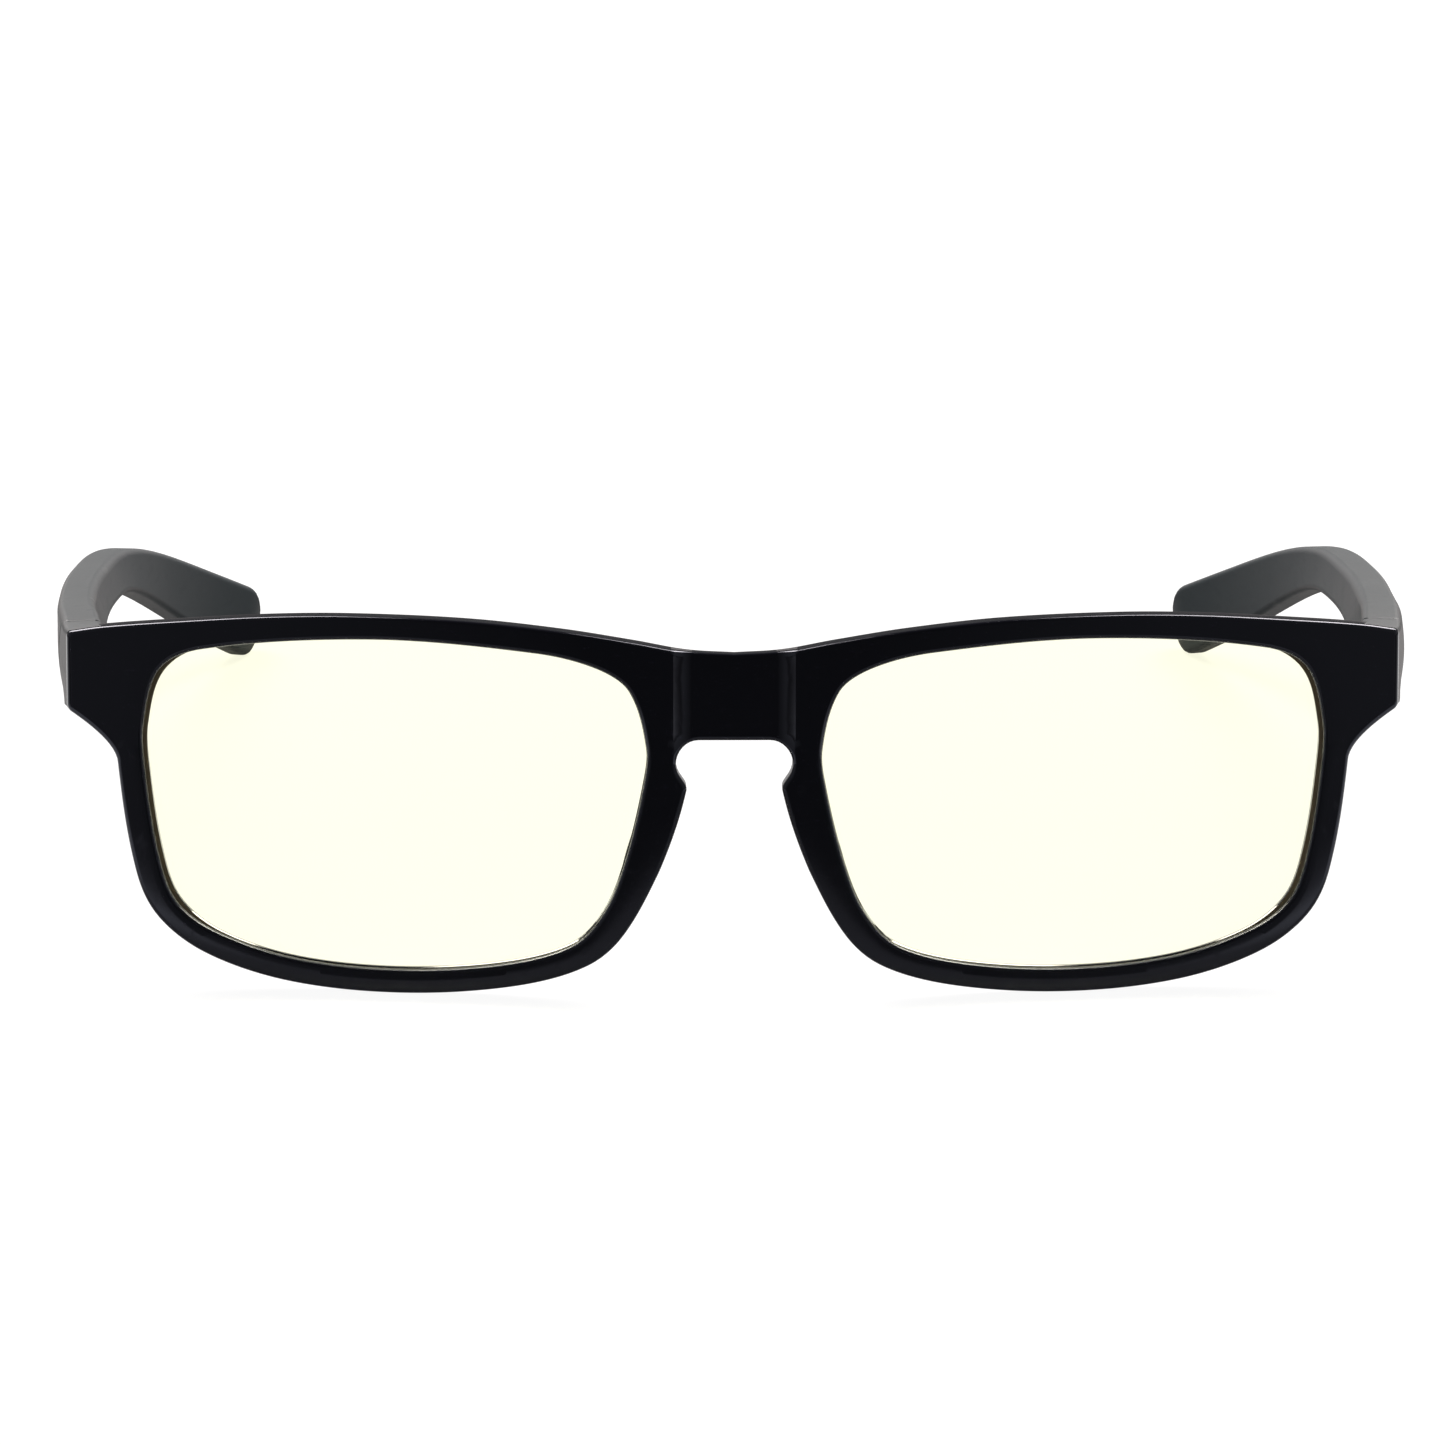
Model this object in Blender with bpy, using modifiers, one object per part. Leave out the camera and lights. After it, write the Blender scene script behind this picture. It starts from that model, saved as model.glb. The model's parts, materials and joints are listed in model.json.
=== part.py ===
"""Full-rim glasses with a keyhole saddle bridge, five-barrel hinges and steel-cored soft temples.

They stand open on a table, on the bottoms of the rims and on the tips of the temples. Everything is
drawn with the front upright, facing -Y, and the whole is then leaned back until rims and tips touch.
"""

import math

import bmesh
import bpy
from mathutils import Matrix, Vector

MM = 0.001

# Lens openings, as seen from the front. The line z = 0 runs through the middle of both lenses.
LENS_WIDTH = 52.4 * MM
LENS_HEIGHT = 34.9 * MM
LENS_GAP = 18.5 * MM
LENS_THICKNESS = 2.0 * MM
LENS_RADIUS = 265 * MM
LENS_BEVEL = 0.7 * MM
LENS_CLEARANCE = 0.2 * MM

# The moulded front
FRONT_DEPTH = 3.6 * MM
FRONT_RADIUS = 330 * MM
FRONT_EDGE_ROUND = 0.45 * MM
FRONT_CREASE = math.radians(40)
RIM_SIDE = 3.3 * MM
RIM_TOP = 2.5 * MM
END_PIECE_REACH = 5.2 * MM
END_PIECE_HEIGHT = 8.2 * MM
END_PIECE_DROP = 2.2 * MM
END_WALL_DROP = 1.6 * MM
END_PIECE_DEPTH = 8.7 * MM
END_PIECE_FLARE = math.radians(9.93)

# Bridge: a saddle set back between the rims, over a keyhole-shaped nose opening
BRIDGE_DROP = 3.9 * MM
SADDLE_WIDTH = 12.2 * MM
SADDLE_RECESS = 0.9 * MM
SADDLE_FILLET = 1.0 * MM
KEYHOLE_WIDTH = 12.25 * MM
KEYHOLE_RADIUS = 2.4 * MM
KEYHOLE_TOP = 7.0 * MM
KEYHOLE_DROP = 4.4 * MM
KEYHOLE_WEB = 1.5 * MM
NOTCH_REACH = 1.35 * MM
LOBE_START_TURN = math.radians(-35)
LOBE_START_SHARE = 0.25

# Nose pads, bonded to the back of the nasal rims
PAD_LENGTH = 13.0 * MM
PAD_WIDTH = 2.8 * MM
PAD_DEPTH = 4.6 * MM
PAD_SPLAY = 0.05
PAD_INSET = 2.0 * MM
PAD_BOND = 0.25 * MM
PAD_MIDDLE_HEIGHT = -5.0 * MM

# Five-barrel hinges
KNUCKLE_COUNT = 5
KNUCKLE_RADIUS = 1.4 * MM
KNUCKLE_HEIGHT = 1.1 * MM
KNUCKLE_GAP = 0.2 * MM
LEAF_THICKNESS = 1.1 * MM
TEMPLE_LEAF_LENGTH = 7.0 * MM
FRONT_LEAF_LENGTH = 5.6 * MM
LEAF_SINK = 0.4 * MM
LEAF_INSET = 0.1 * MM
HINGE_CLEARANCE = 0.25 * MM
HINGE_DROP = 0.5 * MM
SCREW_RADIUS = 0.6 * MM
SCREW_CLEARANCE = 0.12 * MM
SCREW_HEAD_RADIUS = 1.15 * MM
SCREW_HEAD_HEIGHT = 0.7 * MM

# Temples. They start turned out, bow round the head and drop behind the ear. At the waist their lower
# edge leans in towards the head.
TEMPLE_LENGTH = 134 * MM
TEMPLE_HEIGHT = 8.4 * MM
TEMPLE_THICKNESS = 4.6 * MM
TEMPLE_WAIST_HEIGHT = 4.05 * MM
TEMPLE_WAIST_THICKNESS = 4.1 * MM
TEMPLE_TIP_HEIGHT = 8.5 * MM
TEMPLE_TIP_THICKNESS = 3.2 * MM
TEMPLE_TIP_ROUND = 5.0 * MM
TEMPLE_EDGE_ROUND = 0.8 * MM
TEMPLE_EDGE_SHARE = 0.4
TEMPLE_CROWN_RADIUS = 17 * MM
TEMPLE_CROWN_RISE = 0.1
TEMPLE_LEAN = 1.65 * MM
TEMPLE_SPLAY = math.radians(5.15)
TEMPLE_BOW_TURN = math.radians(7.4)
TEMPLE_BOW_EASE = 2.5
TEMPLE_TIP_TURN = math.radians(24.3)
TEMPLE_BEND_REACH = 68.7 * MM
TEMPLE_BEND_LENGTH = 52.3 * MM
TEMPLE_BEND_DROP = math.radians(17.86)
TEMPLE_WAIST_START = 46 * MM
BUTT_GAP = 0.3 * MM

# Spring-steel strip inside each temple
CORE_START = 2.2 * MM
CORE_TIP_GAP = 22 * MM
CORE_HEIGHT = 2.4 * MM
CORE_THICKNESS = 1.1 * MM
CORE_CLEARANCE = 0.25 * MM
CORE_LEAF_GAP = 0.3 * MM
CORE_SETTLE = 30 * MM

# How finely round shapes are divided
STATIONS = {
    "brow": 20,
    "end_top": 3,
    "end_side": 5,
    "end_under": 3,
    "end_foot": 3,
    "rim": 32,
    "lobe": 7,
    "arch": 3,
    "plane": 3,
}
LENS_SIDES = 56
LENS_RINGS = (0.15, 0.5, 0.85)
PAD_SIDES = 20
PAD_ROWS = 16
FILLET_STEPS = 5
DOME_STEPS = 3
CIRCLE_SIDES = 24
SECTION_CORNER_STEPS = 3
CROWN_STEPS = 4
TEMPLE_STEPS = 22
CORE_STEPS = 14
TIP_STEPS = 5

# Lens opening, from -1 to 1 across its width and its height, clockwise from the nasal top corner
OPENING = (
    (-0.930, 0.700),
    (-0.800, 0.835),
    (-0.560, 0.925),
    (0.100, 1.000),
    (0.800, 0.920),
    (0.940, 0.780),
    (1.000, 0.470),
    (0.999, 0.235),
    (0.945, -0.315),
    (0.873, -0.607),
    (0.709, -0.802),
    (0.403, -0.946),
    (-0.016, -1.000),
    (-0.436, -0.957),
    (-0.700, -0.845),
    (-0.825, -0.655),
    (-0.910, -0.350),
    (-0.985, 0.110),
    (-1.000, 0.350),
)
# Where the outline of the front changes along the opening, as places in OPENING
BROW_END, END_TOP_END, END_SIDE_END, END_UNDER_END, NOTCH_START = 4, 5, 6, 7, 15
# How high the underside of the end-piece turns into the rim: 0 at the rim, 1 at the lower corner
UNDER_ELBOW = 0.4

# Top edge of the front: share of the half width, and drop below the highest point of the brow
BROW_LINE = (
    (0.00, BRIDGE_DROP),
    (0.07, BRIDGE_DROP - 0.3 * MM),
    (0.15, 2.6 * MM),
    (0.26, 1.4 * MM),
    (0.40, 0.4 * MM),
    (0.57, 0.0 * MM),
    (0.70, 0.2 * MM),
    (0.85, 0.95 * MM),
)

LENS_MIDDLE = LENS_GAP / 2 + LENS_WIDTH / 2
BROW_TOP = LENS_HEIGHT / 2 + RIM_TOP
HALF_WIDTH = LENS_GAP / 2 + LENS_WIDTH + RIM_SIDE + END_PIECE_REACH
END_PIECE_TOP = BROW_TOP - END_PIECE_DROP
HINGE_HEIGHT = KNUCKLE_COUNT * KNUCKLE_HEIGHT + (KNUCKLE_COUNT - 1) * KNUCKLE_GAP
HINGE_TOP = HINGE_HEIGHT / 2 - HINGE_DROP
HINGE_BOTTOM = HINGE_TOP - HINGE_HEIGHT
# Across the temple, measured outwards from the hinge axis
LEAF_OUTER = KNUCKLE_RADIUS - LEAF_INSET
LEAF_INNER = LEAF_OUTER - LEAF_THICKNESS
TEMPLE_INNER = LEAF_OUTER - LEAF_SINK
TEMPLE_OUTER = TEMPLE_INNER + TEMPLE_THICKNESS
LEAF_START = KNUCKLE_RADIUS + HINGE_CLEARANCE
TEMPLE_BEND_START = TEMPLE_LENGTH - TEMPLE_BEND_REACH
CORE_END = TEMPLE_LENGTH - CORE_TIP_GAP


def clear_scene():
    for obj in list(bpy.data.objects):
        bpy.data.objects.remove(obj, do_unlink=True)


def collection(name):
    made = bpy.data.collections.new(name)
    bpy.context.scene.collection.children.link(made)
    return made


def material(name, colour, roughness, metallic=0.0, alpha=1.0):
    made = bpy.data.materials.new(name)
    made.use_nodes = True
    shader = made.node_tree.nodes["Principled BSDF"]
    shader.inputs["Base Color"].default_value = (*colour, 1.0)
    shader.inputs["Roughness"].default_value = roughness
    shader.inputs["Metallic"].default_value = metallic
    shader.inputs["Alpha"].default_value = alpha
    return made


def smoothstep(value, low, high):
    share = min(max((value - low) / (high - low), 0.0), 1.0)
    return share * share * (3 - 2 * share)


def blend(first, second, share):
    return first + (second - first) * share


def spline(points, place, closed):
    """Point at a place along a smooth curve through the points; whole places are the points themselves."""
    count = len(points)
    index = math.floor(place)
    if not closed:
        index = min(index, count - 2)
    share = place - index

    def at(step):
        return Vector(points[step % count] if closed else points[min(max(step, 0), count - 1)])

    before, start, end, after = (at(index + step) for step in (-1, 0, 1, 2))
    chord = (end - start).length
    leave = (end - before) * (chord / max((start - before).length + chord, 1e-12))
    arrive = (after - start) * (chord / max((after - end).length + chord, 1e-12))
    s2, s3 = share * share, share**3
    return (
        start * (2 * s3 - 3 * s2 + 1)
        + leave * (s3 - 2 * s2 + share)
        + end * (3 * s2 - 2 * s3)
        + arrive * (s3 - s2)
    )


def opening_point(place):
    unit = spline(OPENING, place, closed=True)
    return Vector((LENS_MIDDLE + unit.x * LENS_WIDTH / 2, unit.y * LENS_HEIGHT / 2))


def opening_normal(place):
    """Direction away from the lens, in the plane of the front."""
    step = 0.02
    along = opening_point(place + step) - opening_point(place - step)
    return Vector((-along.y, along.x)).normalized()


def nasal_place(height):
    """Place on the nasal side of the opening at a height over the middle of the lens."""
    low, high = NOTCH_START, len(OPENING)
    for _ in range(40):
        middle = (low + high) / 2
        if opening_point(middle).y < height:
            low = middle
        else:
            high = middle
    return low


NOTCH_PLACE = nasal_place(KEYHOLE_TOP - KEYHOLE_DROP)


def evenly(curve, start, end, count):
    """Points of a curve from start up to, but not at, end, with equal distances between them."""
    fine = 40 * count
    places = [blend(start, end, step / fine) for step in range(fine + 1)]
    points = [curve(place) for place in places]
    travelled = [0.0]
    for first, second in zip(points, points[1:]):
        travelled.append(travelled[-1] + (second - first).length)
    found = []
    index = 0
    for step in range(count):
        wanted = travelled[-1] * step / count
        while travelled[index + 1] < wanted:
            index += 1
        share = (wanted - travelled[index]) / (travelled[index + 1] - travelled[index])
        found.append(blend(places[index], places[index + 1], share))
    return found


def brow_point(place):
    ends = ((end_wall() / HALF_WIDTH, END_WALL_DROP), (1.0, END_PIECE_DROP))
    share, drop = spline(BROW_LINE + ends, place, closed=False)
    return Vector((share * HALF_WIDTH, BROW_TOP - drop))


def rim_point(place):
    """Outer edge of the rim below the end-piece, wider towards the notch over the nose."""
    normal = opening_normal(place)
    side = RIM_SIDE + NOTCH_REACH * smoothstep(place, NOTCH_START, NOTCH_PLACE)
    return opening_point(place) + Vector((normal.x * side, normal.y * RIM_TOP))


def under_point(share):
    """Concave underside of the end-piece, from its lower corner into the rim."""
    corner = Vector((HALF_WIDTH, END_PIECE_TOP - END_PIECE_HEIGHT))
    foot = rim_point(END_UNDER_END)
    elbow = Vector((foot.x, blend(foot.y, corner.y, UNDER_ELBOW)))
    return corner * (1 - share) ** 2 + elbow * 2 * share * (1 - share) + foot * share**2


def under_share(x):
    """Where the underside of the end-piece is at a distance from the middle."""
    foot = rim_point(END_UNDER_END)
    return 1 - math.sqrt((x - foot.x) / (HALF_WIDTH - foot.x))


def lobe_point(share):
    """From the notch over the nose round the lobe of the keyhole to its flat top."""
    notch = rim_point(NOTCH_PLACE)
    centre = Vector((KEYHOLE_WIDTH / 2 - KEYHOLE_RADIUS, KEYHOLE_TOP - KEYHOLE_RADIUS))
    round_share = max(share - LOBE_START_SHARE, 0) / (1 - LOBE_START_SHARE)
    turn = blend(LOBE_START_TURN, math.pi / 2, round_share)
    on_lobe = centre + KEYHOLE_RADIUS * Vector((math.cos(turn), math.sin(turn)))
    return blend(notch, on_lobe, min(share / LOBE_START_SHARE, 1))


def arch_point(share):
    return Vector(((KEYHOLE_WIDTH / 2 - KEYHOLE_RADIUS) * (1 - share), KEYHOLE_TOP))


def plane_point(share):
    return Vector((0, blend(KEYHOLE_TOP, BROW_TOP - BRIDGE_DROP, share)))


def half_outlines():
    """Matching points of the opening and of the outer edge, for the half of the front on +X."""
    end_top_start = len(BROW_LINE)
    wall_share = under_share(end_wall())
    foot_place = blend(END_SIDE_END, END_UNDER_END, wall_share)
    web_place = nasal_place(KEYHOLE_TOP + KEYHOLE_WEB)
    arch_place = blend(web_place, len(OPENING), 0.5)
    corner_top = Vector((HALF_WIDTH, END_PIECE_TOP))
    runs = (
        ("brow", (0, BROW_END), brow_point, (0, end_top_start)),
        ("end_top", (BROW_END, END_TOP_END), brow_point, (end_top_start, end_top_start + 1)),
        ("end_side", (END_TOP_END, END_SIDE_END), lambda s: blend(corner_top, under_point(0), s), (0, 1)),
        ("end_under", (END_SIDE_END, foot_place), under_point, (0, wall_share)),
        ("end_foot", (foot_place, END_UNDER_END), under_point, (wall_share, 1)),
        ("rim", (END_UNDER_END, NOTCH_PLACE), rim_point, (END_UNDER_END, NOTCH_PLACE)),
        ("lobe", (NOTCH_PLACE, web_place), lobe_point, (0, 1)),
        ("arch", (web_place, arch_place), arch_point, (0, 1)),
        ("plane", (arch_place, len(OPENING)), plane_point, (0, 1)),
    )
    inner, outer, starts = [], [], {}
    for name, inner_run, outer_curve, outer_run in runs:
        starts[name] = len(inner)
        inner_places = evenly(opening_point, *inner_run, STATIONS[name])
        outer_places = inner_places if name == "rim" else evenly(outer_curve, *outer_run, STATIONS[name])
        inner += [opening_point(place) for place in inner_places]
        outer += [outer_curve(place) for place in outer_places]
    return inner, outer, starts


def front_sag(x):
    """How far the curved front lies behind its foremost line, at a distance from the middle."""
    return x * x / (2 * FRONT_RADIUS)


def lens_sag(x, z):
    """Depth of the ball-shaped front face of the lens."""
    off = x - LENS_MIDDLE
    edge_mean = ((LENS_WIDTH / 2) ** 2 + (LENS_HEIGHT / 2) ** 2) / (4 * LENS_RADIUS)
    follow = off * LENS_MIDDLE / FRONT_RADIUS + front_sag(LENS_MIDDLE)
    seat = (FRONT_DEPTH - LENS_THICKNESS) / 2 - edge_mean + (LENS_WIDTH / 2) ** 2 / (4 * FRONT_RADIUS)
    return follow + seat + (off * off + z * z) / (2 * LENS_RADIUS)


def loft(bm, rings, ring_closes=False):
    """Walls between rings of equally many points; the first and last are capped, or joined to each other."""
    made = [[bm.verts.new(point) for point in ring] for ring in rings]
    pairs = list(zip(made, made[1:]))
    if ring_closes:
        pairs.append((made[-1], made[0]))
    for first, second in pairs:
        for index in range(len(first)):
            after = (index + 1) % len(first)
            bm.faces.new((first[index], first[after], second[after], second[index]))
    if not ring_closes:
        bm.faces.new(made[0])
        bm.faces.new(made[-1])
    bmesh.ops.recalc_face_normals(bm, faces=bm.faces[:])
    return made


def finish(bm, name, home, surface=None, parent=None, side=1):
    """Turns a bmesh drawn for the right-hand side into an object, mirrored if it is for the left."""
    if side < 0:
        bmesh.ops.scale(bm, vec=(-1, 1, 1), verts=bm.verts[:])
        bmesh.ops.reverse_faces(bm, faces=bm.faces[:])
    mesh = bpy.data.meshes.new(name)
    bm.to_mesh(mesh)
    bm.free()
    mesh.shade_smooth()
    mesh.set_sharp_from_angle(angle=math.radians(35))
    obj = bpy.data.objects.new(name, mesh)
    home.objects.link(obj)
    obj.parent = parent
    if surface:
        mesh.materials.append(surface)
    else:
        obj.hide_render = True
        obj.display_type = "WIRE"
    return obj


def boolean(obj, other, operation):
    modifier = obj.modifiers.new(f"{operation.lower()} {other.name}", "BOOLEAN")
    modifier.operation = operation
    modifier.object = other
    return modifier


def box(bm, low, high):
    low, high = Vector(low), Vector(high)
    size = high - low
    matrix = Matrix.Translation((low + high) / 2) @ Matrix.Diagonal((*size, 1))
    bmesh.ops.create_cube(bm, size=1, matrix=matrix)


def upright_cylinder(bm, radius, bottom, top):
    middle = Matrix.Translation((0, 0, (bottom + top) / 2))
    bmesh.ops.create_cone(
        bm,
        cap_ends=True,
        segments=CIRCLE_SIDES,
        radius1=radius,
        radius2=radius,
        depth=top - bottom,
        matrix=middle,
    )


def hinge_place():
    """Foot of the hinge axis behind the right end-piece, in the plan of the upright front."""
    corner = Vector((HALF_WIDTH, front_sag(HALF_WIDTH)))
    back = corner + END_PIECE_DEPTH * Vector((math.sin(END_PIECE_FLARE), math.cos(END_PIECE_FLARE)))
    across = Vector((math.cos(TEMPLE_SPLAY), -math.sin(TEMPLE_SPLAY)))
    foot = back - TEMPLE_OUTER * across
    return Vector((foot.x, foot.y, END_PIECE_TOP - END_PIECE_HEIGHT / 2))


def hinge_matrix():
    return Matrix.Translation(hinge_place()) @ Matrix.Rotation(-TEMPLE_SPLAY, 4, "Z")


def end_wall():
    """How far from the middle the inner wall of the end-piece meets the back of the rim."""
    corner = hinge_matrix() @ Vector((TEMPLE_INNER, 0, 0))
    return corner.x - (corner.y - front_sag(corner.x) - FRONT_DEPTH) * math.tan(TEMPLE_SPLAY)


def front_half():
    """Half of the front, bent to its curve, with the end-piece drawn back to the temple."""
    inner, outer, starts = half_outlines()
    first, last = starts["end_top"], starts["end_foot"]
    middle = []
    for index, (near, far) in enumerate(zip(inner, outer)):
        if first <= index <= last:
            down = (index - first + 1) / (last - first + 2)
            middle.append(blend(outer[first], outer[last], down))
        else:
            middle.append(blend(near, far, min(RIM_SIDE / (far - near).length, 0.5)))
    rings = []
    layers = ((inner, 0), (middle, 0), (outer, 0))
    layers += tuple((outline, FRONT_DEPTH) for outline, _ in reversed(layers))
    for outline, depth in layers:
        ring = []
        for point in outline:
            reach = smoothstep(point.x, HALF_WIDTH - END_PIECE_REACH, HALF_WIDTH)
            x = point.x + reach * depth * math.tan(END_PIECE_FLARE)
            ring.append(Vector((x, front_sag(point.x) + depth, point.y)))
        rings.append(ring)
    bm = bmesh.new()
    made = loft(bm, rings, ring_closes=True)
    outer_front, outer_back, middle_back = made[2], made[3], made[4]
    end_faces = [
        face
        for index in range(first, last)
        for face in bm.faces
        if {outer_back[index], outer_back[index + 1], middle_back[index]} <= set(face.verts)
    ]
    targets = butt_points(first, starts["end_side"], starts["end_under"], last)
    moves = {}
    for index in range(first, last + 1):
        moves[tuple(outer_back[index].co)] = targets[index][0]
        moves[tuple(middle_back[index].co)] = targets[index][1]
    drawn = bmesh.ops.extrude_face_region(bm, geom=end_faces)
    bmesh.ops.delete(bm, geom=[face for face in end_faces if face.is_valid], context="FACES")
    butt = {item for item in drawn["geom"] if isinstance(item, bmesh.types.BMVert)}
    for vert in butt:
        vert.co = moves[tuple(vert.co)]
    plane = set(range(starts["plane"], len(inner))) | {0}
    on_plane = {outer_front[index] for index in plane} | {outer_back[index] for index in plane}
    inside = [face for face in bm.faces if set(face.verts) <= on_plane]
    bmesh.ops.delete(bm, geom=inside, context="FACES")
    bmesh.ops.recalc_face_normals(bm, faces=bm.faces[:])
    rounded = bm.edges.layers.float.new("bevel_weight_edge")
    for edge in bm.edges:
        crease = edge.calc_face_angle(0.0) > FRONT_CREASE
        edge[rounded] = float(crease and not set(edge.verts) <= butt)
    return bm


def butt_points(first, top_corner, low_corner, last):
    """Where each drawn-back point of the end-piece lies on its back face: (outer edge, inner edge)."""
    matrix = hinge_matrix()
    back = -BUTT_GAP / 2
    half = TEMPLE_HEIGHT / 2
    found = {}
    for index in range(first, last + 1):
        if index <= top_corner:
            share = (index - first) / (top_corner - first)
            top_edge = TEMPLE_OUTER - crown_inset(half, TEMPLE_HEIGHT)
            outer = Vector((blend(TEMPLE_INNER, top_edge, share), back, half))
        elif index <= low_corner:
            height = blend(half, -half, (index - top_corner) / (low_corner - top_corner))
            outer = Vector((TEMPLE_OUTER - crown_inset(height, TEMPLE_HEIGHT), back, height))
        else:
            share = (last - index) / (last - low_corner)
            low_edge = TEMPLE_OUTER - crown_inset(-half, TEMPLE_HEIGHT)
            outer = Vector((blend(TEMPLE_INNER, low_edge, share), back, -half))
        down = (index - first + 1) / (last - first + 2)
        inner = Vector((TEMPLE_INNER, back, blend(half, -half, down)))
        found[index] = (matrix @ outer, matrix @ inner)
    return found


def lens_solid(clearance):
    """Ball-faced lens with a bevelled edge, larger all round by a clearance."""
    places = evenly(opening_point, 0, len(OPENING), LENS_SIDES)
    middle = Vector((LENS_MIDDLE, 0))
    edge = [(opening_point(place), opening_normal(place)) for place in places]
    rims = [[blend(middle, point, share) for point, _ in edge] for share in LENS_RINGS]
    rims.append([point + normal * clearance for point, normal in edge])
    apex = [point + normal * (LENS_BEVEL + clearance) for point, normal in edge]
    rings = []
    back = LENS_THICKNESS + clearance
    for depth, outlines in ((-clearance, rims), (LENS_THICKNESS / 2, [apex]), (back, rims[::-1])):
        for outline in outlines:
            rings.append([Vector((p.x, lens_sag(p.x, p.y) + depth, p.y)) for p in outline])
    bm = bmesh.new()
    loft(bm, rings)
    return bm


def saddle_cutter():
    """Block that sets the bridge back, with hollow fillets down both sides."""
    half = SADDLE_WIDTH / 2
    fillet = []
    for step in range(FILLET_STEPS + 1):
        turn = math.pi / 2 * step / FILLET_STEPS
        fillet.append((half - SADDLE_FILLET * (1 - math.cos(turn)), SADDLE_RECESS * math.sin(turn)))
    front = (half, -FRONT_DEPTH)
    side = [front] + [(x, front_sag(half) + depth) for x, depth in fillet]
    plan = side + [(-x, y) for x, y in reversed(side)]
    rings = [[Vector((x, y, z)) for x, y in plan] for z in (KEYHOLE_TOP - KEYHOLE_RADIUS, BROW_TOP)]
    bm = bmesh.new()
    loft(bm, rings)
    return bm


def nose_pad():
    """Half an egg that stands on the back of the nasal rim and splays with the side of the nose."""
    upper, lower = (
        opening_point(place) + opening_normal(place) * PAD_INSET for place in (NOTCH_PLACE, NOTCH_START)
    )
    tilt = math.atan2(lower.x - upper.x, upper.y - lower.y)
    share = (PAD_MIDDLE_HEIGHT - upper.y) / (lower.y - upper.y)
    foot = blend(upper, lower, share)
    bm = bmesh.new()
    bmesh.ops.create_uvsphere(bm, u_segments=PAD_SIDES, v_segments=PAD_ROWS, radius=1)
    bmesh.ops.scale(bm, vec=(PAD_WIDTH / 2, PAD_DEPTH, PAD_LENGTH / 2), verts=bm.verts[:])
    splay = Matrix.Identity(4)
    splay[0][1] = PAD_SPLAY
    turn = Matrix.Rotation(-tilt, 4, "Y")
    place = Matrix.Translation((foot.x, front_sag(foot.x) + FRONT_DEPTH, foot.y))
    bmesh.ops.transform(bm, matrix=place @ turn @ splay, verts=bm.verts[:])
    base = Vector((foot.x, front_sag(foot.x) + FRONT_DEPTH + PAD_BOND, foot.y))
    slope = Vector((-foot.x / FRONT_RADIUS, 1, 0)).normalized()
    geometry = bm.verts[:] + bm.edges[:] + bm.faces[:]
    cut = bmesh.ops.bisect_plane(bm, geom=geometry, plane_co=base, plane_no=slope, clear_inner=True)
    rim = [item for item in cut["geom_cut"] if isinstance(item, bmesh.types.BMEdge)]
    bmesh.ops.holes_fill(bm, edges=rim)
    bmesh.ops.recalc_face_normals(bm, faces=bm.faces[:])
    return bm


def knuckle_bottom(index):
    return HINGE_BOTTOM + index * (KNUCKLE_HEIGHT + KNUCKLE_GAP)


def knuckle(bm, index, way):
    """One barrel with the web that joins it to its leaf. way is 1 on the temple and -1 on the front."""
    begin = -math.acos(LEAF_OUTER / KNUCKLE_RADIUS)
    end = 2 * math.pi - math.acos(LEAF_INNER / KNUCKLE_RADIUS)
    plan = [(LEAF_OUTER, -LEAF_START - HINGE_CLEARANCE)]
    for step in range(CIRCLE_SIDES + 1):
        turn = blend(begin, end, step / CIRCLE_SIDES)
        plan.append((KNUCKLE_RADIUS * math.cos(turn), KNUCKLE_RADIUS * math.sin(turn)))
    plan.append((LEAF_INNER, -LEAF_START - HINGE_CLEARANCE))
    bottom = knuckle_bottom(index)
    loft(bm, [[Vector((x, -way * y, z)) for x, y in plan] for z in (bottom, bottom + KNUCKLE_HEIGHT)])


def leaf_plate(bm, way, clearance=0.0):
    near = -BUTT_GAP if clearance else LEAF_START
    length = TEMPLE_LEAF_LENGTH if way > 0 else FRONT_LEAF_LENGTH
    low, high = sorted((way * near, way * (length + clearance)))
    inner = LEAF_INNER - (LEAF_THICKNESS if clearance else 0.0)
    bottom, top = HINGE_BOTTOM - clearance, HINGE_TOP + clearance
    box(bm, (inner, low, bottom), (LEAF_OUTER + clearance, high, top))


def hinge_leaf(way, name, surface, parent, side, parts, cutters):
    """A leaf with every second barrel: the odd ones on the front, the even ones on the temple."""
    bm = bmesh.new()
    leaf_plate(bm, way)
    leaf = finish(bm, name, parts, surface, parent, side)
    bm = bmesh.new()
    for index in range(0 if way < 0 else 1, KNUCKLE_COUNT, 2):
        knuckle(bm, index, way)
    boolean(leaf, finish(bm, f"{name}_barrels", cutters, None, parent, side), "UNION")
    bm = bmesh.new()
    upright_cylinder(bm, SCREW_RADIUS + SCREW_CLEARANCE, -HINGE_HEIGHT, HINGE_HEIGHT)
    boolean(leaf, finish(bm, f"{name}_bore", cutters, None, parent, side), "DIFFERENCE")
    return leaf


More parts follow.
